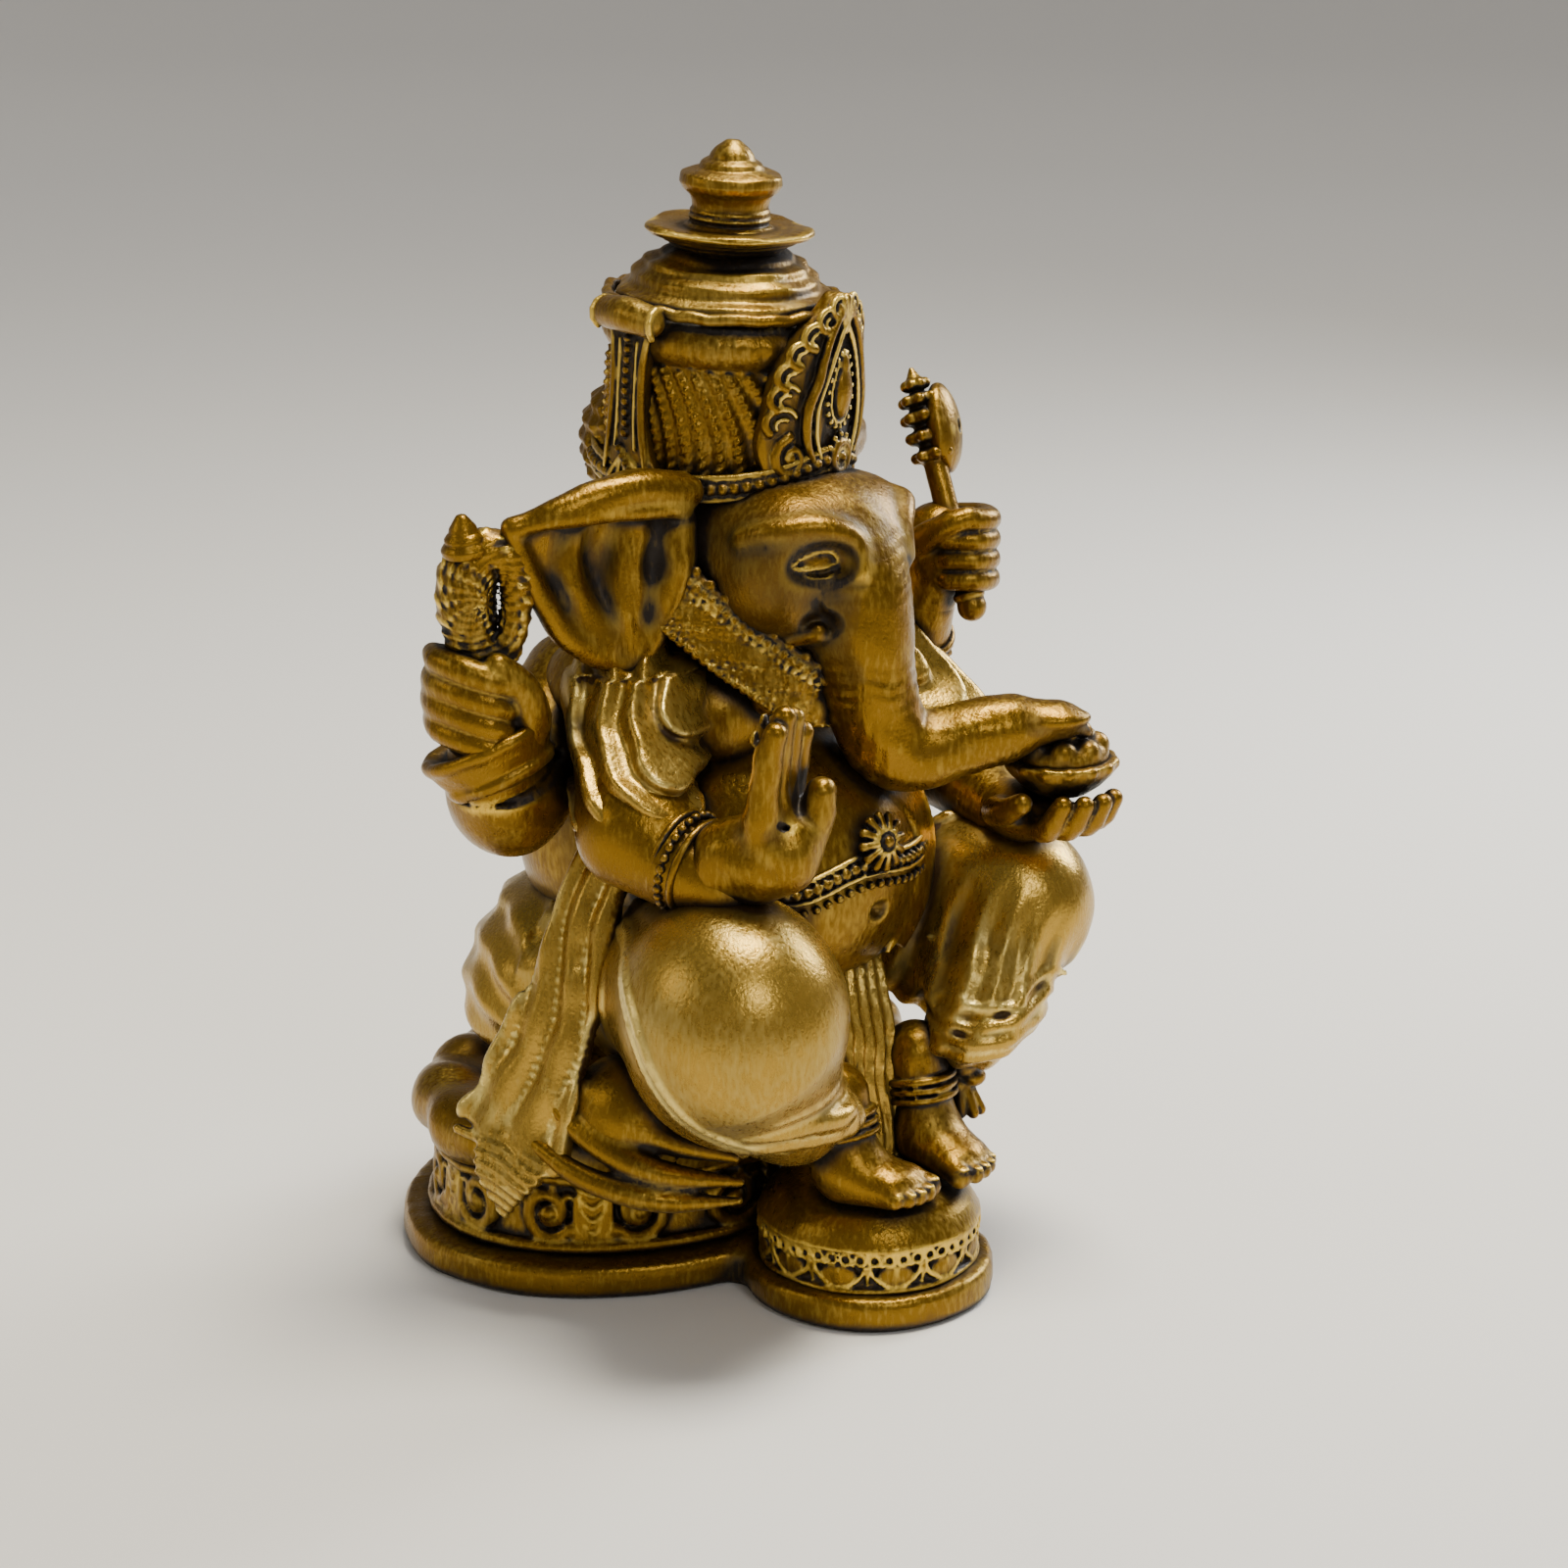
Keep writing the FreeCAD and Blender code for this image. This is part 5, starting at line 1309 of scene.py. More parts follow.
def crest_plate():
    """The pointed leaf over the brow: stacked fronds, volutes, a bold rim, a jewel and a rosette."""
    outline = [(-21, -15), (-23, -9), (-21.5, -2), (-20, 5), (-17, 11), (-12.5, 16), (-6, 20), (0, 23.5),
               (6, 20),
               (12.5, 16), (17, 11), (20, 5), (21.5, -2), (23, -9), (21, -15), (10, -17), (0, -18),
               (-10, -17)]
    outline = [(u, v * 1.1 + 1.5) for u, v in outline]
    plate = bent_plate(outline, 275, 27.5, 33.0, 1.3)

    def place(u, v, out=0.0):
        return round_crown(275 + math.degrees(u / 32.0), v * 1.1 + 1.5, 33.2 + out)

    parts = []
    for side in (-1, 1):
        def mirror(u, v, out=0.0, side=side):
            return place(side * -u, v, out)

        parts.append(volute(mirror, -15.5, -11.5, 4.8, 100, 1.3, 1.35))
        for i, (u, v, size) in enumerate(((-18.5, -3.5, 3.6), (-17.8, 1.8, 3.5), (-16.4, 6.6, 3.4),
                                          (-13.8, 11.0, 3.3),
                                          (-10.2, 14.8, 3.2), (-6.2, 18.0, 3.0), (-2.6, 20.6, 2.6))):
            lean = 20 + i * 11
            frond = []
            for k in range(7):
                a = math.radians(lean + 205 - k * 34)
                frond.append((*mirror(u + size * 1.15 * math.cos(a), v + size * 0.85 * math.sin(a), 0.2),
                              1.15 - 0.09 * k))
            parts.append(coil(frond, 2))
            inner = []
            for k in range(5):
                a = math.radians(lean + 195 - k * 40)
                inner.append((*mirror(u + 0.4 + size * 0.55 * math.cos(a),
                                      v - 0.6 + size * 0.4 * math.sin(a), 0.2), 0.6))
            parts.append(coil(inner, 2))
        rim = traced(mirror, [(-9, -13, 0.6, 0.9), (-11.8, -8, 1.0, 1.2), (-12.2, -1, 1.2, 1.35),
                              (-9.5, 5, 1.2, 1.3), (-8.0, 10, 1.0, 1.2), (-6.0, 14.5, 0.8, 1.1),
                              (-1.8, 20, 0.6, 0.9)])
        parts.append(coil(rim, 4))
        inner_rim = traced(mirror, [(-6.5, -13, 0.6, 0.7), (-9.0, -7.5, 0.9, 0.8), (-9.2, -1, 1.0, 0.8),
                                    (-6.4, 6, 1.0, 0.8), (-3.2, 12.5, 0.9, 0.8), (0, 17, 0.6, 0.7)])
        parts.append(coil(inner_rim, 4))
        parts.append(volute(mirror, -8.2, -14.6, 2.6, 60, 1.0, 0.85, 8))
        beads = [mirror(*spot) for spot in ((-10.4, -6), (-10.7, -3.4), (-10.5, -0.8), (-9.6, 1.8),
                                            (-8.4, 4.2),
                                            (-7.2, 6.8), (-6.0, 9.4))]
        parts.append(studs(beads, 0.85))
    jewel = place(0, 1.5, 0.2)
    parts.append(lump(jewel, (3.4, 2.6, 6.6), CROWN))
    parts.append(lump(place(0, 7.5, 0.3), (1.7, 1.8, 3.4), CROWN))
    ring_of_beads = []
    for k in range(20):
        a = 2 * math.pi * k / 20
        ring_of_beads.append(place(5.4 * math.cos(a) * (1 - 0.25 * math.sin(a)), 2.2 + 8.4 * math.sin(a),
                                   0.4))
    parts.append(studs(ring_of_beads, 0.8))
    loop = [(*place(4.1 * math.cos(a) * (1 - 0.25 * math.sin(a)), 2.0 + 7.2 * math.sin(a), 0.4), 0.55)
            for a in np.linspace(0, 2 * math.pi, 17)]
    parts.append(coil(loop, 1))
    rosette = place(0, -12.8, 1.2)
    out = unit(place(0, -12.8, 3.0) - rosette)
    parts += [hoop(rosette, out, 3.6, 1.1), hoop(rosette, out, 1.9, 0.7), ball(rosette + out * 0.6, 1.2)]
    parts.append(studs([place(5.0 * math.cos(a), -12.8 + 5.0 * math.sin(a), 0.9)
                        for a in np.linspace(0, 2 * math.pi, 13)[:-1]], 0.9))
    for k in range(5):
        a = math.radians(90 + (k - 2) * 20)
        parts.append(bar(place(0, 15, 0.4), place(7.0 * math.cos(a) * 0.7, 15 + 7.5 * math.sin(a), 0.3), 0.7,
                         1.1))
    return merge(plate, *parts, k=0.35)


def side_panel(centre_angle, hand):
    """A side panel: a scroll rolled back on top, beads between raised edges, a flared tail."""
    outline = [(-5.5, -19), (-6.8, -12), (-5.2, -4), (-4.8, 6), (-5.6, 14), (-7, 20), (0, 22.5), (7, 20),
               (5.6, 14),
               (4.8, 6), (5.2, -4), (6.8, -12), (9.5, -19), (2, -21)]
    plate = bent_plate(outline, centre_angle, 27.0, 31.2, 1.0)

    def place(u, v, out=0.0):
        return round_crown(centre_angle + hand * math.degrees(u / 30.0), v, 31.2 + out)

    parts = []
    roll = traced(place, [(-6.8, 19.5, 0.6, 4.0), (0, 20.2, 0.9, 4.3), (6.2, 19.5, 0.6, 3.9)])
    parts.append(coil(roll, 3))
    for u in (-9.0, 8.4):
        spiral = []
        for k in range(15):
            t = k / 14
            a = math.radians(-60) + 2 * math.pi * 1.3 * t
            r = 4.2 * (1 - 0.75 * t)
            spiral.append((*place(u * 0.98, 19.6 + r * math.sin(a), 0.6 + r * math.cos(a)), 0.8))
        parts.append(coil(spiral, 1))
    for u0, bulge in ((-4.6, -1.0), (4.6, 1.0)):
        line = traced(place, [(u0 + bulge, 15.5, 0.2, 0.8), (u0, 8, 0.3, 1.0), (u0, 0, 0.3, 1.0),
                              (u0 + bulge * 0.8, -9, 0.3, 1.0), (u0 + bulge * 2.4, -18, 0.2, 0.8)])
        parts.append(coil(line, 4))
        second = traced(place, [(u0 * 0.62, 14, 0.2, 0.5), (u0 * 0.6, 6, 0.2, 0.6), (u0 * 0.6, -4, 0.2, 0.6),
                                (u0 * 0.7, -12, 0.2, 0.5)])
        parts.append(coil(second, 4))
    parts.append(studs([place(0.15 * math.sin(i), 14.5 - i * 2.55, 0.4) for i in range(10)], 1.15))
    for i in range(4):
        parts.append(lump(place(-1 + i * 1.2, -12.5 - i * 1.6, 0.4), (1.6, 1.1, 1.1), turn_z(centre_angle)))
    for i in range(5):
        parts.append(bar(place(0, -13, 0.2), place(-4.5 + i * 3.0, -19.5, 0.3), 0.7, 0.95))
    return merge(plate, *parts, k=0.4)


def right_crown_panel():
    return side_panel(170, 1)


def left_crown_panel():
    return side_panel(10, -1)


def crown_roof():
    """The domed roof, stepped in four uneven rings."""
    c = around("crown_cap", CROWN)
    outline = [(25.6, 19.5), (26.4, 21.4), (26.0, 23), (23.4, 24.0), (22.6, 25.0), (22.4, 26.6), (20.6, 27.8),
               (19.8, 28.2), (19.4, 29.8), (17.4, 30.6), (16.6, 30.9), (15.8, 32.0), (14, 32.8), (12, 33)]
    return uneven(spun(c(0, 0, 0), CROWN, outline, 0.5), 0.8, 14, 2, 1.0)


def crown_disc():
    """A thin saucer with a wavy rim on a cup."""
    c = around("crown_cap", CROWN)
    outline = [(12.6, 31), (12.4, 33), (14.5, 35.0), (17.0, 36.6), (19.4, 37.7), (20.2, 38.4), (19.0, 38.7),
               (11, 38.2),
               (9, 39.5)]
    saucer = spun(c(0, 0, 0), CROWN, outline, 0.4)

    def ripple(p):
        q = (p - c(0, 0, 0)) @ CROWN
        a = np.arctan2(q[:, 1], q[:, 0])
        rim = np.clip((np.hypot(q[:, 0], q[:, 1]) - 15) / 5, 0, 1)
        return rim * 0.45 * np.sin(a * 5 + 1) + 0.12 * np.sin(q[:, 2] * 5)

    return relief(saucer, ripple, 0.6)


def crown_spire():
    """The spinning-top spire: a ringed neck, a wide rim and a stepped point."""
    c = around("crown_cap", CROWN)
    outline = [(10.8, 38), (9.2, 39.2), (9.0, 40.2), (9.6, 40.9), (8.7, 41.6), (9.3, 42.4), (8.6, 43.2),
               (8.9, 45.0),
               (9.6, 46.6), (11.3, 47.9), (12.2, 49.3), (12.0, 51.0), (9.6, 51.9), (7.8, 52.3), (7.3, 53.6),
               (6.3, 54.2),
               (5.4, 54.5), (5.0, 55.8), (3.9, 57.2), (2.8, 58.0), (1.4, 59.0)]
    return uneven(spun(c(0, 0, 0), CROWN, outline, 0.4), 0.35, 13, 6, 0.5)


def hair_bun():
    """The knot of hair behind the cap, with leafy locks laid over it."""
    b = around("hair_bun")
    middle = b(1, -4, 0)
    bun = merge(lump(middle + (0, 0, 0), (18, 15, 16)), lump(middle + (-8, -2, -4), (12, 12, 14)),
                lump(middle + (8, -1, -4), (12, 12, 14)), k=5)

    def locks(p):
        q = p - middle
        a = np.degrees(np.arctan2(q[:, 1], q[:, 0]))
        phase = q[:, 2] / 4.6 + 0.018 * np.abs((a % 60) - 30)
        return 1.3 * (1 - np.abs(np.sin(math.pi * phase)) ** 1.5) + 0.3 * np.sin(a * 0.45 + q[:, 2]) - 0.5

    return relief(bun, locks, 1.6)


# ---------------------------------------------------------------- what the hands hold
def noose():
    """The noose: a fat scaly rope that narrows as it loops over and comes down beside a slim opening."""
    n = around("noose")
    right = unit((0.682, -0.731, 0))
    middle = n(1, 0, -0.5)
    turn = ((-1, -15, 5.0), (-4.8, -9, 6.0), (-5.6, 0, 6.8), (-4.6, 7.0, 6.2), (0.6, 11.5, 4.8),
            (5.0, 9, 3.9),
            (6.4, 1.5, 3.4), (5.4, -7, 3.3), (2.8, -14, 3.5))
    path = [(*(middle + right * u + (0, 0, v)), r) for u, v, r in turn]
    rope = coil(path, 5, k=1.0)

    def scales(p):
        q = p - middle
        a = np.arctan2(q[:, 2], q @ right)
        r = np.hypot(q @ right, q[:, 2])
        side = q @ np.cross(right, (0, 0, 1.0))
        return (0.5 * np.sin(a * 15 + np.sign(side) * r * 0.9) * np.sin(r * 1.9 + side * 0.9)
                + 0.15 * wander(p, 6, 1))

    lines = []
    for shift in (-3.0, 3.0):
        row = [(*(middle + right * u + (0, 0, v) + np.cross(right, (0, 0, 1.0)) * -shift * r / 4.6), 0.9)
               for u, v, r in turn[1:-2]]
        lines.append(coil(row, 3))
    return merge(relief(rope, scales, 0.7), *lines, k=0.8)


def noose_knot():
    """The pointed knob at the top of the noose, on its ring."""
    k = around("noose_knot")
    return spun(k(0, 0, -4.5), turn_y(-8), [(5.0, 0), (5.4, 1.4), (4.6, 2.4), (4.0, 2.8), (4.3, 3.8),
                                            (3.6, 4.6), (3.0, 5.0), (2.8, 6.2), (1.8, 7.6),
                                            (0.8, 9.0)], 0.5)


AXE_ALONG = unit((0, 0.39, 0.92))


def axe_handle():
    """The axe's shaft, its stacked lotus head and the pointed finial."""
    a = around("axe_handle")
    foot, top = a(0, -15, -29), a(2, 10, 29)
    along = unit(top - foot)
    parts = [bar(foot, top - along * 9, 3.2, 3.0)]
    for drop, radius, thick in ((4.5, 2.6, 1.2), (8.5, 4.2, 1.7), (13.0, 4.8, 2.0), (18.0, 4.8, 2.0),
                                (23.0, 4.4, 1.8)):
        middle = top - along * drop
        parts.append(hoop(middle, along, radius * 0.6, thick))
        side = unit(np.cross(along, (1, 0.2, 0)))
        other = np.cross(along, side)
        number = 7
        parts.append(studs([middle + radius * (math.cos(t) * side + math.sin(t) * other)
                            for t in np.linspace(0, 2 * math.pi, number + 1)[:-1] + drop], 1.5))
    parts.append(bar(top - along * 4, top - along * 0.5, 2.6, 0.8))
    parts += [ball(foot, 3.8), hoop(foot + along * 3, along, 3.2, 1.0)]
    return merge(*parts, k=0.7)


def axe_blade():
    """The axe's round blade, thick at the middle, with a dimple and a raised edge."""
    b = around("axe_blade")
    middle = b(1.5, -0.5, 0)
    face = unit((0.55, -0.8, 0.2))
    side = unit(np.cross(face, AXE_ALONG))
    rot = np.stack([side, face, np.cross(side, face)], axis=1)
    blade = lump(middle, (8.5, 4.6, 11.5), rot)
    dimple = ball(middle + np.array([-0.75, -0.65, 0]) * 3.9, 1.6)
    other = ball(middle + face * 4.4, 1.6)
    ring = coil([(*(middle + rot @ (7.6 * math.cos(t), 0, 10.4 * math.sin(t))), 1.2)
                 for t in np.linspace(0, 2 * math.pi, 19)], 1)
    return merge(carve(blade, dimple, other, k=1.0), ring, k=1.2)


def bowl():
    """The sweet bowl: a shallow cup of overlapping petals."""
    b = around("bowl")
    middle = b(0, 0, -5)
    cup = spun(middle, np.eye(3), [(4.5, 0), (6.5, 0.6), (10, 3), (12.8, 6), (13.8, 8.6), (12.4, 9), (9, 7)],
               0.5)
    petals = []
    for i in range(14):
        a = i * 360 / 14
        out = turn_z(a) @ np.array([1.0, 0, 0])
        petals.append(bar(middle + out * 6.5 + (0, 0, 1.5), middle + out * 13.2 + (0, 0, 8.0), 1.1, 1.6))
    return merge(cup, *petals, k=0.7)


def sweets():
    """A heap of round sweets with a pointed one on top."""
    s = around("sweets")
    middle = s(0, 0, -6)
    heap = [lump(middle, (12, 12, 5.5))]
    for ring_radius, count, rise, size, start in ((8.6, 8, 1.8, 3.5, 0), (4.6, 5, 5.4, 3.3, 20)):
        for i in range(count):
            a = math.radians(start + 360 * i / count)
            heap.append(ball(middle + (ring_radius * math.cos(a), ring_radius * math.sin(a),
                                       rise + 0.4 * (i % 2)), size))
    heap.append(spun(middle + (0, 0, 6), np.eye(3), [(3.2, 0), (3.4, 1.2), (2.6, 3), (1.2, 4.8), (0.4, 6.2)],
                     0.4))
    return merge(*heap, k=0.6)


TRIM_PIECES = [
    (crown_cap, ["crown_cap"], "trim_gold", 0.55, 0.34),
    (brow_band, ["brow_band"], "trim_gold", 0.55, 0.34),
    (crest_plate, ["crest_plate"], "trim_gold", 0.45, 0.32),
    (right_crown_panel, ["right_crown_panel"], "trim_gold", 0.45, 0.34),
    (left_crown_panel, ["left_crown_panel"], "trim_gold", 0.55, 0.34),
    (crown_roof, ["crown_roof"], "trim_gold", 0.6, 0.29),
    (crown_disc, ["crown_disc"], "trim_gold", 0.5, 0.29),
    (crown_spire, ["crown_spire"], "trim_gold", 0.45, 0.29),
    (hair_bun, ["hair_bun"], "trim_gold", 0.7, 0.34),
    (noose, ["noose"], "trim_gold", 0.5, 0.34),
    (noose_knot, ["noose_knot"], "trim_gold", 0.45, 0.34),
    (axe_handle, ["axe_handle"], "trim_gold", 0.5, 0.34),
    (axe_blade, ["axe_blade"], "trim_gold", 0.5, 0.34),
    (bowl, ["bowl"], "trim_gold", 0.55, 0.34),
    (sweets, ["sweets"], "trim_gold", 0.55, 0.34),
]


# ---------------------------------------------------------------- paint
class Sock:
    """A value in a material that adds, multiplies and compares like a number."""

    def __init__(self, paint, socket):
        self.paint, self.socket = paint, socket

    def maths(self, operation, *values, clamp=False):
        node = self.paint.tree.nodes.new("ShaderNodeMath")
        node.operation, node.use_clamp = operation, clamp
        for slot, value in zip(node.inputs, values):
            self.paint.plug(slot, value)
        return Sock(self.paint, node.outputs[0])

    def __add__(self, other):
        return self.maths("ADD", self, other)

    def __radd__(self, other):
        return self.maths("ADD", other, self)

    def __sub__(self, other):
        return self.maths("SUBTRACT", self, other)

    def __rsub__(self, other):
        return self.maths("SUBTRACT", other, self)

    def __mul__(self, other):
        return self.maths("MULTIPLY", self, other)

    def __rmul__(self, other):
        return self.maths("MULTIPLY", other, self)

    def __truediv__(self, other):
        return self.maths("DIVIDE", self, other)

    def __rtruediv__(self, other):
        return self.maths("DIVIDE", other, self)

    def clipped(self):
        return self.maths("ADD", self, 0.0, clamp=True)

    def above(self, low, high):
        """0 below low, 1 above high."""
        return ((self - low) / (high - low)).clipped()


class Paint:
    """A material under construction."""

    def __init__(self, name):
        self.material = bpy.data.materials.new(name)
        self.material.use_nodes = True
        self.tree = self.material.node_tree
        self.tree.nodes.clear()

    def plug(self, slot, value):
        if isinstance(value, Sock):
            self.tree.links.new(value.socket, slot)
        elif hasattr(slot.default_value, "__len__") and not hasattr(value, "__len__"):
            slot.default_value = (value,) * len(slot.default_value)
        else:
            slot.default_value = value

    def node(self, kind, settings=None, out=0, **inputs):
        node = self.tree.nodes.new("ShaderNode" + kind)
        for key, value in (settings or {}).items():
            setattr(node, key, value)
        for key, value in inputs.items():
            self.plug(node.inputs[int(key[1:]) if key[1:].isdigit() else key.replace("_", " ")], value)
        return Sock(self, node.outputs[out])

    def mix(self, amount, first, second):
        return self.node("Mix", {"data_type": "RGBA"}, out=2, _0=amount, _6=first, _7=second)

    def noise(self, scale, detail=3.0, stretch=(1, 1, 1)):
        where = self.node("TexCoord", out=3)
        spread = self.node("Mapping", Vector=where, Scale=stretch)
        return self.node("TexNoise", Vector=spread, Scale=scale, Detail=detail)

    def mark(self, name):
        return self.node("Attribute", {"attribute_name": name}, out=2)

    def finish(self, normal, **inputs):
        shader = self.node("BsdfPrincipled", Normal=normal, **inputs)
        output = self.tree.nodes.new("ShaderNodeOutputMaterial")
        self.plug(output.inputs["Surface"], shader)
        return self.material


def srgb(r, g, b):
    """A colour given in 0 to 255 as the paint wants it."""
    return tuple(((v / 255 + 0.055) / 1.055) ** 2.4 if v > 10 else v / 255 / 12.92
                 for v in (r, g, b)) + (1.0,)


def gold_paint(name, dark, mid, bright, hollow_from, hollow_to, rub, rough, streak=1.0, metal=0.86):
    """Gilt over brown: brown stays in the hollows, partly an antiquing wash and partly painted shade from
    nearby parts and the floor; brushed gold catches the edges, strokes all over.
    """
    paint = Paint(name)
    hollow, ridge = paint.mark("hollow"), paint.mark("ridge")
    strokes = paint.noise(900.0, 4.0, (1, 1, 0.3))
    mottle = paint.noise(38.0, 4.0)
    grain = paint.noise(1300.0, 3.0)
    worn = (ridge.above(0.10, 0.55) * rub + (mottle - 0.5) * 0.9 + (strokes - 0.5) * streak * 0.9).clipped()
    # painted shade: this mask lays dark brown where the piece is occluded, both the antiquing in its own
    # crevices and shade from nearby parts and the floor
    brown_wash_and_shade = (hollow.above(hollow_from, hollow_to) + (mottle - 0.5) * 0.6 + (strokes - 0.5) * streak
             * 0.5).clipped()
    base = paint.mix((0.5 + (mottle - 0.5) * 2.4).clipped(), mid, tuple(0.62 * v for v in mid[:3]) + (1.0,))
    colour = paint.mix(brown_wash_and_shade, paint.mix(worn, base, bright), dark)
    height = strokes * 0.6 * streak + grain * 0.45 + mottle * 0.3
    bump = paint.node("Bump", Height=height, Strength=0.55, Distance=0.0004)
    roughness = rough + brown_wash_and_shade * 0.22 + (strokes - 0.5) * 0.22 + (mottle - 0.5) * 0.12
    return paint.finish(bump, Base_Color=colour, Roughness=roughness, Metallic=metal - brown_wash_and_shade * 0.45)


PAINTS = {
    "plinth_gold": gold_paint("plinth_gold", dark=srgb(28, 17, 4), mid=srgb(136, 101, 22),
                              bright=srgb(244, 206, 84),
                              hollow_from=0.22, hollow_to=0.78, rub=0.70, rough=0.31),
    "cloth_gold": gold_paint("cloth_gold", dark=srgb(58, 38, 10), mid=srgb(180, 144, 58),
                             bright=srgb(254, 228, 134),
                             hollow_from=0.36, hollow_to=0.98, rub=0.75, rough=0.28, streak=0.7),
    "skin_gold": gold_paint("skin_gold", dark=srgb(24, 13, 3), mid=srgb(134, 98, 20),
                            bright=srgb(246, 204, 78),
                            hollow_from=0.20, hollow_to=0.74, rub=0.75, rough=0.30),
    "trim_gold": gold_paint("trim_gold", dark=srgb(22, 13, 4), mid=srgb(138, 102, 24),
                            bright=srgb(246, 208, 92),
                            hollow_from=0.20, hollow_to=0.70, rub=0.85, rough=0.31),
}


# ---------------------------------------------------------------- the pieces
def shade_grid(forms, step=2.0):
    """Distances to the whole statue and the shelf on a coarse grid, for what lies in its own shadow."""
    low = np.floor(np.min([f.low for f in forms], axis=0) - 12)
    high = np.ceil(np.max([f.high for f in forms], axis=0) + 12)
    count = np.ceil((high - low) / step).astype(int)
    axes = [low[i] + np.arange(count[i]) * step for i in range(3)]
    # the floor counts in the field, so pieces near it are painted darker as shade
    grid = np.minimum(np.broadcast_to(axes[2], count), 12.0).astype(np.float32)
    grid = np.ascontiguousarray(grid)

    def fill(form):
        first = np.maximum(np.floor((form.low - 8 - low) / step), 0).astype(int)
        last = np.minimum(np.ceil((form.high + 8 - low) / step) + 1, count).astype(int)
        block = [axes[i][first[i]:last[i]] for i in range(3)]
        p = np.stack(np.meshgrid(*block, indexing="ij"), axis=-1).reshape(-1, 3)
        return first, last, form.dist(p).reshape([len(b) for b in block])

    with ThreadPoolExecutor(4) as pool:
        for first, last, found in pool.map(fill, forms):
            view = grid[first[0]:last[0], first[1]:last[1], first[2]:last[2]]
            np.minimum(view, found, out=view)
    return grid, low, step


def look_up(field, p):
    """The coarse grid read between its points."""
    grid, low, step = field
    q = np.clip((p - low) / step, 0, np.array(grid.shape) - 1.001)
    i = q.astype(int)
    f = q - i
    total = 0
    for x in (0, 1):
        for y in (0, 1):
            for z in (0, 1):
                share = (np.where(x, f[:, 0], 1 - f[:, 0]) * np.where(y, f[:, 1], 1 - f[:, 1])
                         * np.where(z, f[:, 2], 1 - f[:, 2]))
                total = total + share * grid[i[:, 0] + x, i[:, 1] + y, i[:, 2] + z]
    return total


def make_mesh(name, verts, quads):
    """A mesh in metres from vertices in millimetres and quads."""
    mesh = bpy.data.meshes.new(name)
    mesh.vertices.add(len(verts))
    mesh.vertices.foreach_set("co", (verts * MM).astype(np.float32).ravel())
    mesh.loops.add(quads.size)
    mesh.loops.foreach_set("vertex_index", quads.astype(np.int32).ravel())
    mesh.polygons.add(len(quads))
    mesh.polygons.foreach_set("loop_start", np.arange(len(quads), dtype=np.int32) * 4)
    mesh.update(calc_edges=True)
    mesh.validate()
    return mesh


def thin_out(obj, share):
    """Fewer faces on a smooth piece, with the shape kept."""
    bpy.context.view_layer.objects.active = obj
    lighter = obj.modifiers.new("lighter", "DECIMATE")
    lighter.ratio = share
    bpy.ops.object.modifier_apply(modifier=lighter.name)


def shade_and_edge_marks(obj, form, field):
    """Writes, for the paint, a mask of the antiquing in the piece's own crevices together with painted shade
    from nearby parts and the floor, and where it has edges.
    """
    mesh = obj.data
    count = len(mesh.vertices)
    place = np.zeros(count * 3, np.float32)
    mesh.vertices.foreach_get("co", place)
    facing = np.zeros(count * 3, np.float32)
    mesh.vertex_normals.foreach_get("vector", facing)
    p, n = place.reshape(-1, 3).astype(float) / MM, facing.reshape(-1, 3).astype(float)
    here = form.dist(p)
    # fine: the piece's own crevices, where the brown antiquing sits
    fine = 1 - (form.dist(p + n * 1.1) - here) / 1.1
    # broad and far read the whole statue and the floor: painted shade near other parts and near the floor
    broad = 1 - look_up(field, p + n * 3.0) / 3.0
    far = 1 - look_up(field, p + n * 7.0) / 7.0
    edge = 1 + (form.dist(p - n * 1.0) - here)
    marks = {"hollow": fine * 1.3 + np.clip(broad, 0, 1.2) * 0.45 + np.clip(far, 0, 1.2) * 0.35,
             "ridge": edge}
    for name, values in marks.items():
        written = mesh.attributes.new(name, "FLOAT", "POINT").data
        written.foreach_set("value", np.clip(values, 0, 2).astype(np.float32))


def build_all():
    """Sculpts, skins and paints every piece."""
    forms = [maker() for maker, _, _, _, _ in PIECES]
    with ThreadPoolExecutor(4) as pool:
        skins = list(pool.map(lambda job: skin(job[0], job[1][3]), zip(forms, PIECES)))
    field = shade_grid(forms)
    for form, (verts, quads), (_, nodes, slot, _, share) in zip(forms, skins, PIECES):
        name = "sculpted_" + nodes[0]
        obj = bpy.data.objects.new(name, make_mesh(name, verts, quads))
        bpy.context.scene.collection.objects.link(obj)
        if share < 1:
            thin_out(obj, share)
        obj.data.shade_smooth()
        shade_and_edge_marks(obj, form, field)
        obj.data.materials.append(PAINTS[slot])
        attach(obj, "root")
        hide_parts(*nodes)


# ---------------------------------------------------------------- the setting
FLOOR_COLOUR = srgb(222, 219, 214)
WORLD_COLOUR = (0.66, 0.67, 0.70, 1)
WORLD_STRENGTH = 0.24
SKY_TOWARDS = (0.25, 0.05, 0.96)
SKY_STRENGTH = 1.1
SKY_SPREAD = 40
SKY_COLOUR = (1.0, 0.98, 0.95)
# the floor's outline, from its middle to the rim: radius and height in metres
FLOOR_RINGS = ((1.2, 0.0), (2.4, 0.0), (3.0, 0.06), (3.5, 0.28), (3.9, 0.7), (4.1, 1.4), (4.2, 3.2))
# name, place from the statue's middle in metres, size in metres, watts, colour
STUDIO_LAMPS = (
    ("key", (0.18, -0.12, 1.10), 0.40, 20.0, (1.0, 0.93, 0.76)),
    ("front", (-0.30, -1.05, 0.75), 0.34, 3.2, (0.96, 0.97, 1.0)),
    ("rim", (1.0, -0.10, 0.45), 0.40, 11.0, (0.92, 0.96, 1.0)),
    ("side", (-1.0, 0.40, 0.55), 0.50, 1.6, (1.0, 0.93, 0.78)),
)


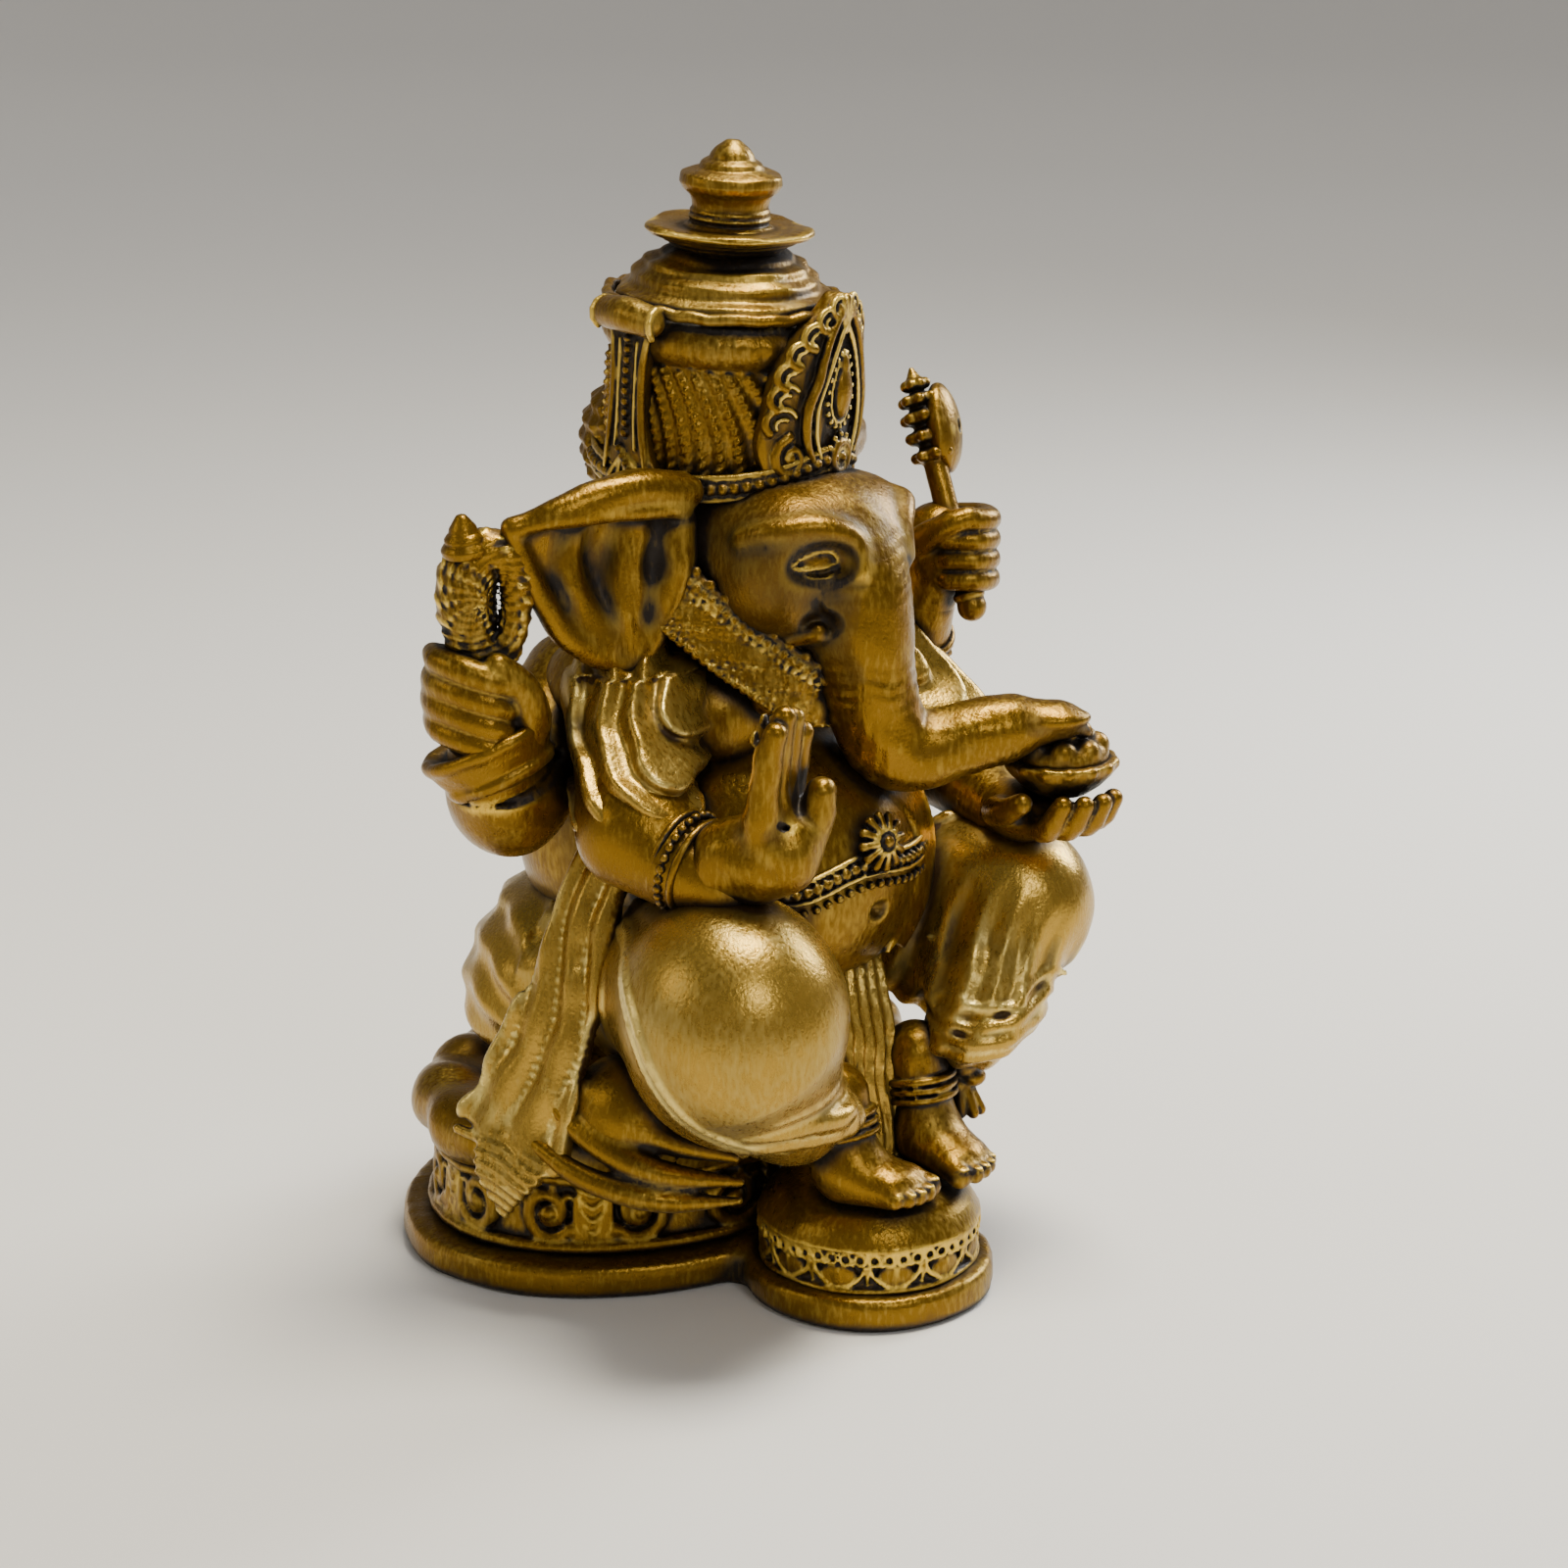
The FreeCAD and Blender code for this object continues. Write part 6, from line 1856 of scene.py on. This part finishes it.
def set_stage():
    """A wide pale dish of a floor and soft lights."""
    sides = 72
    points = [(0.0, 0.0, 0.0)]
    faces = [(0, 1 + i, 1 + (i + 1) % sides) for i in range(sides)]
    for k, (radius, height) in enumerate(FLOOR_RINGS):
        for i in range(sides):
            a = 2 * math.pi * i / sides
            points.append((radius * math.cos(a), radius * math.sin(a), height))
            if k:
                here, there = 1 + k * sides, 1 + (k - 1) * sides
                faces.append((there + i, here + i, here + (i + 1) % sides, there + (i + 1) % sides))
    mesh = bpy.data.meshes.new("floor")
    mesh.from_pydata(points, [], faces)
    for face in mesh.polygons:
        face.use_smooth = True
    floor = bpy.data.objects.new("floor", mesh)
    bpy.context.scene.collection.objects.link(floor)
    paper = Paint("floor_paper")
    tooth = paper.noise(300.0, 2.0)
    bump = paper.node("Bump", Height=tooth, Strength=0.05, Distance=0.0002)
    mesh.materials.append(paper.finish(bump, Base_Color=FLOOR_COLOUR, Roughness=0.85))
    world = bpy.data.worlds.new("studio")
    world.use_nodes = True
    world.node_tree.nodes["Background"].inputs["Color"].default_value = WORLD_COLOUR
    world.node_tree.nodes["Background"].inputs["Strength"].default_value = WORLD_STRENGTH
    bpy.context.scene.world = world
    low, high = (np.array(v) for v in CAD_BOX)
    middle = Vector((low + high) / 2)
    sky = bpy.data.lights.new("sky", "SUN")
    sky.energy, sky.angle, sky.color = SKY_STRENGTH, math.radians(SKY_SPREAD), SKY_COLOUR
    sky_lamp = bpy.data.objects.new("sky", sky)
    sky_lamp.rotation_euler = (-Vector(SKY_TOWARDS)).to_track_quat("-Z", "Y").to_euler()
    bpy.context.scene.collection.objects.link(sky_lamp)
    for name, offset, size, power, colour in STUDIO_LAMPS:
        lamp = bpy.data.lights.new(name, "AREA")
        lamp.size, lamp.energy, lamp.color = size, power, colour
        obj = bpy.data.objects.new(name, lamp)
        obj.location = middle + Vector(offset)
        obj.rotation_euler = (-Vector(offset)).to_track_quat("-Z", "Y").to_euler()
        bpy.context.scene.collection.objects.link(obj)


CAMERA_AZIMUTH = 227
CAMERA_PITCH = 17
CAMERA_DISTANCE = 0.895
CAMERA_LENS = 76.5
SENSOR_WIDTH = 36.0
AIM_OFF_MIDDLE = (0.0464, 0.0242, -0.0342)


def set_camera():
    """Looks down 17 degrees at the figure's right front, with the statue left of the middle."""
    low, high = (np.array(v) for v in CAD_BOX)
    aim = Vector((low + high) / 2) + Vector(AIM_OFF_MIDDLE)
    azimuth, pitch = math.radians(CAMERA_AZIMUTH), math.radians(CAMERA_PITCH)
    back = Vector((math.cos(azimuth) * math.cos(pitch), math.sin(azimuth) * math.cos(pitch), math.sin(pitch)))
    lens = bpy.data.cameras.new("camera")
    lens.lens, lens.sensor_width = CAMERA_LENS, SENSOR_WIDTH
    camera = bpy.data.objects.new("camera", lens)
    camera.location = aim + back * CAMERA_DISTANCE
    camera.rotation_euler = (-back).to_track_quat("-Z", "Y").to_euler()
    bpy.context.scene.collection.objects.link(camera)
    bpy.context.scene.camera = camera


# maker, the nodes it stands for, its finish, the skin's step in millimetres, the share of faces kept
PIECES = [
    (plinth, ["plinth"], "plinth_gold", 1.2, 0.25),
    (throne, ["throne", "throne_scrolls"], "plinth_gold", 0.7, 0.25),
    (cushion, ["cushion"], "plinth_gold", 1.0, 0.25),
    (footrest, ["footrest", "footrest_beads"], "plinth_gold", 0.55, 0.29),
    (hips, ["hips"], "cloth_gold", 1.1, 0.25),
    (torso, ["back", "chest"], "skin_gold", 1.1, 0.25),
    (belly, ["belly"], "skin_gold", 0.9, 0.29),
    (girdle, ["girdle", "girdle_flower"], "trim_gold", 0.5, 0.34),
    (right_leg, ["right_leg", "right_hem"], "cloth_gold", 0.9, 0.29),
    (left_leg, ["left_leg", "left_hem"], "cloth_gold", 0.9, 0.29),
    (front_pleats, ["front_pleats"], "cloth_gold", 0.7, 0.34),
    (right_foot, ["right_foot"], "skin_gold", 0.6, 0.34),
    (left_foot, ["left_foot"], "skin_gold", 0.6, 0.34),
    (ankle_tassel, ["ankle_tassel"], "trim_gold", 0.55, 0.34),
    (side_sash, ["side_sash"], "cloth_gold", 0.7, 0.34),
] + HEAD_PIECES + TRIM_PIECES

build_all()
set_stage()
set_camera()
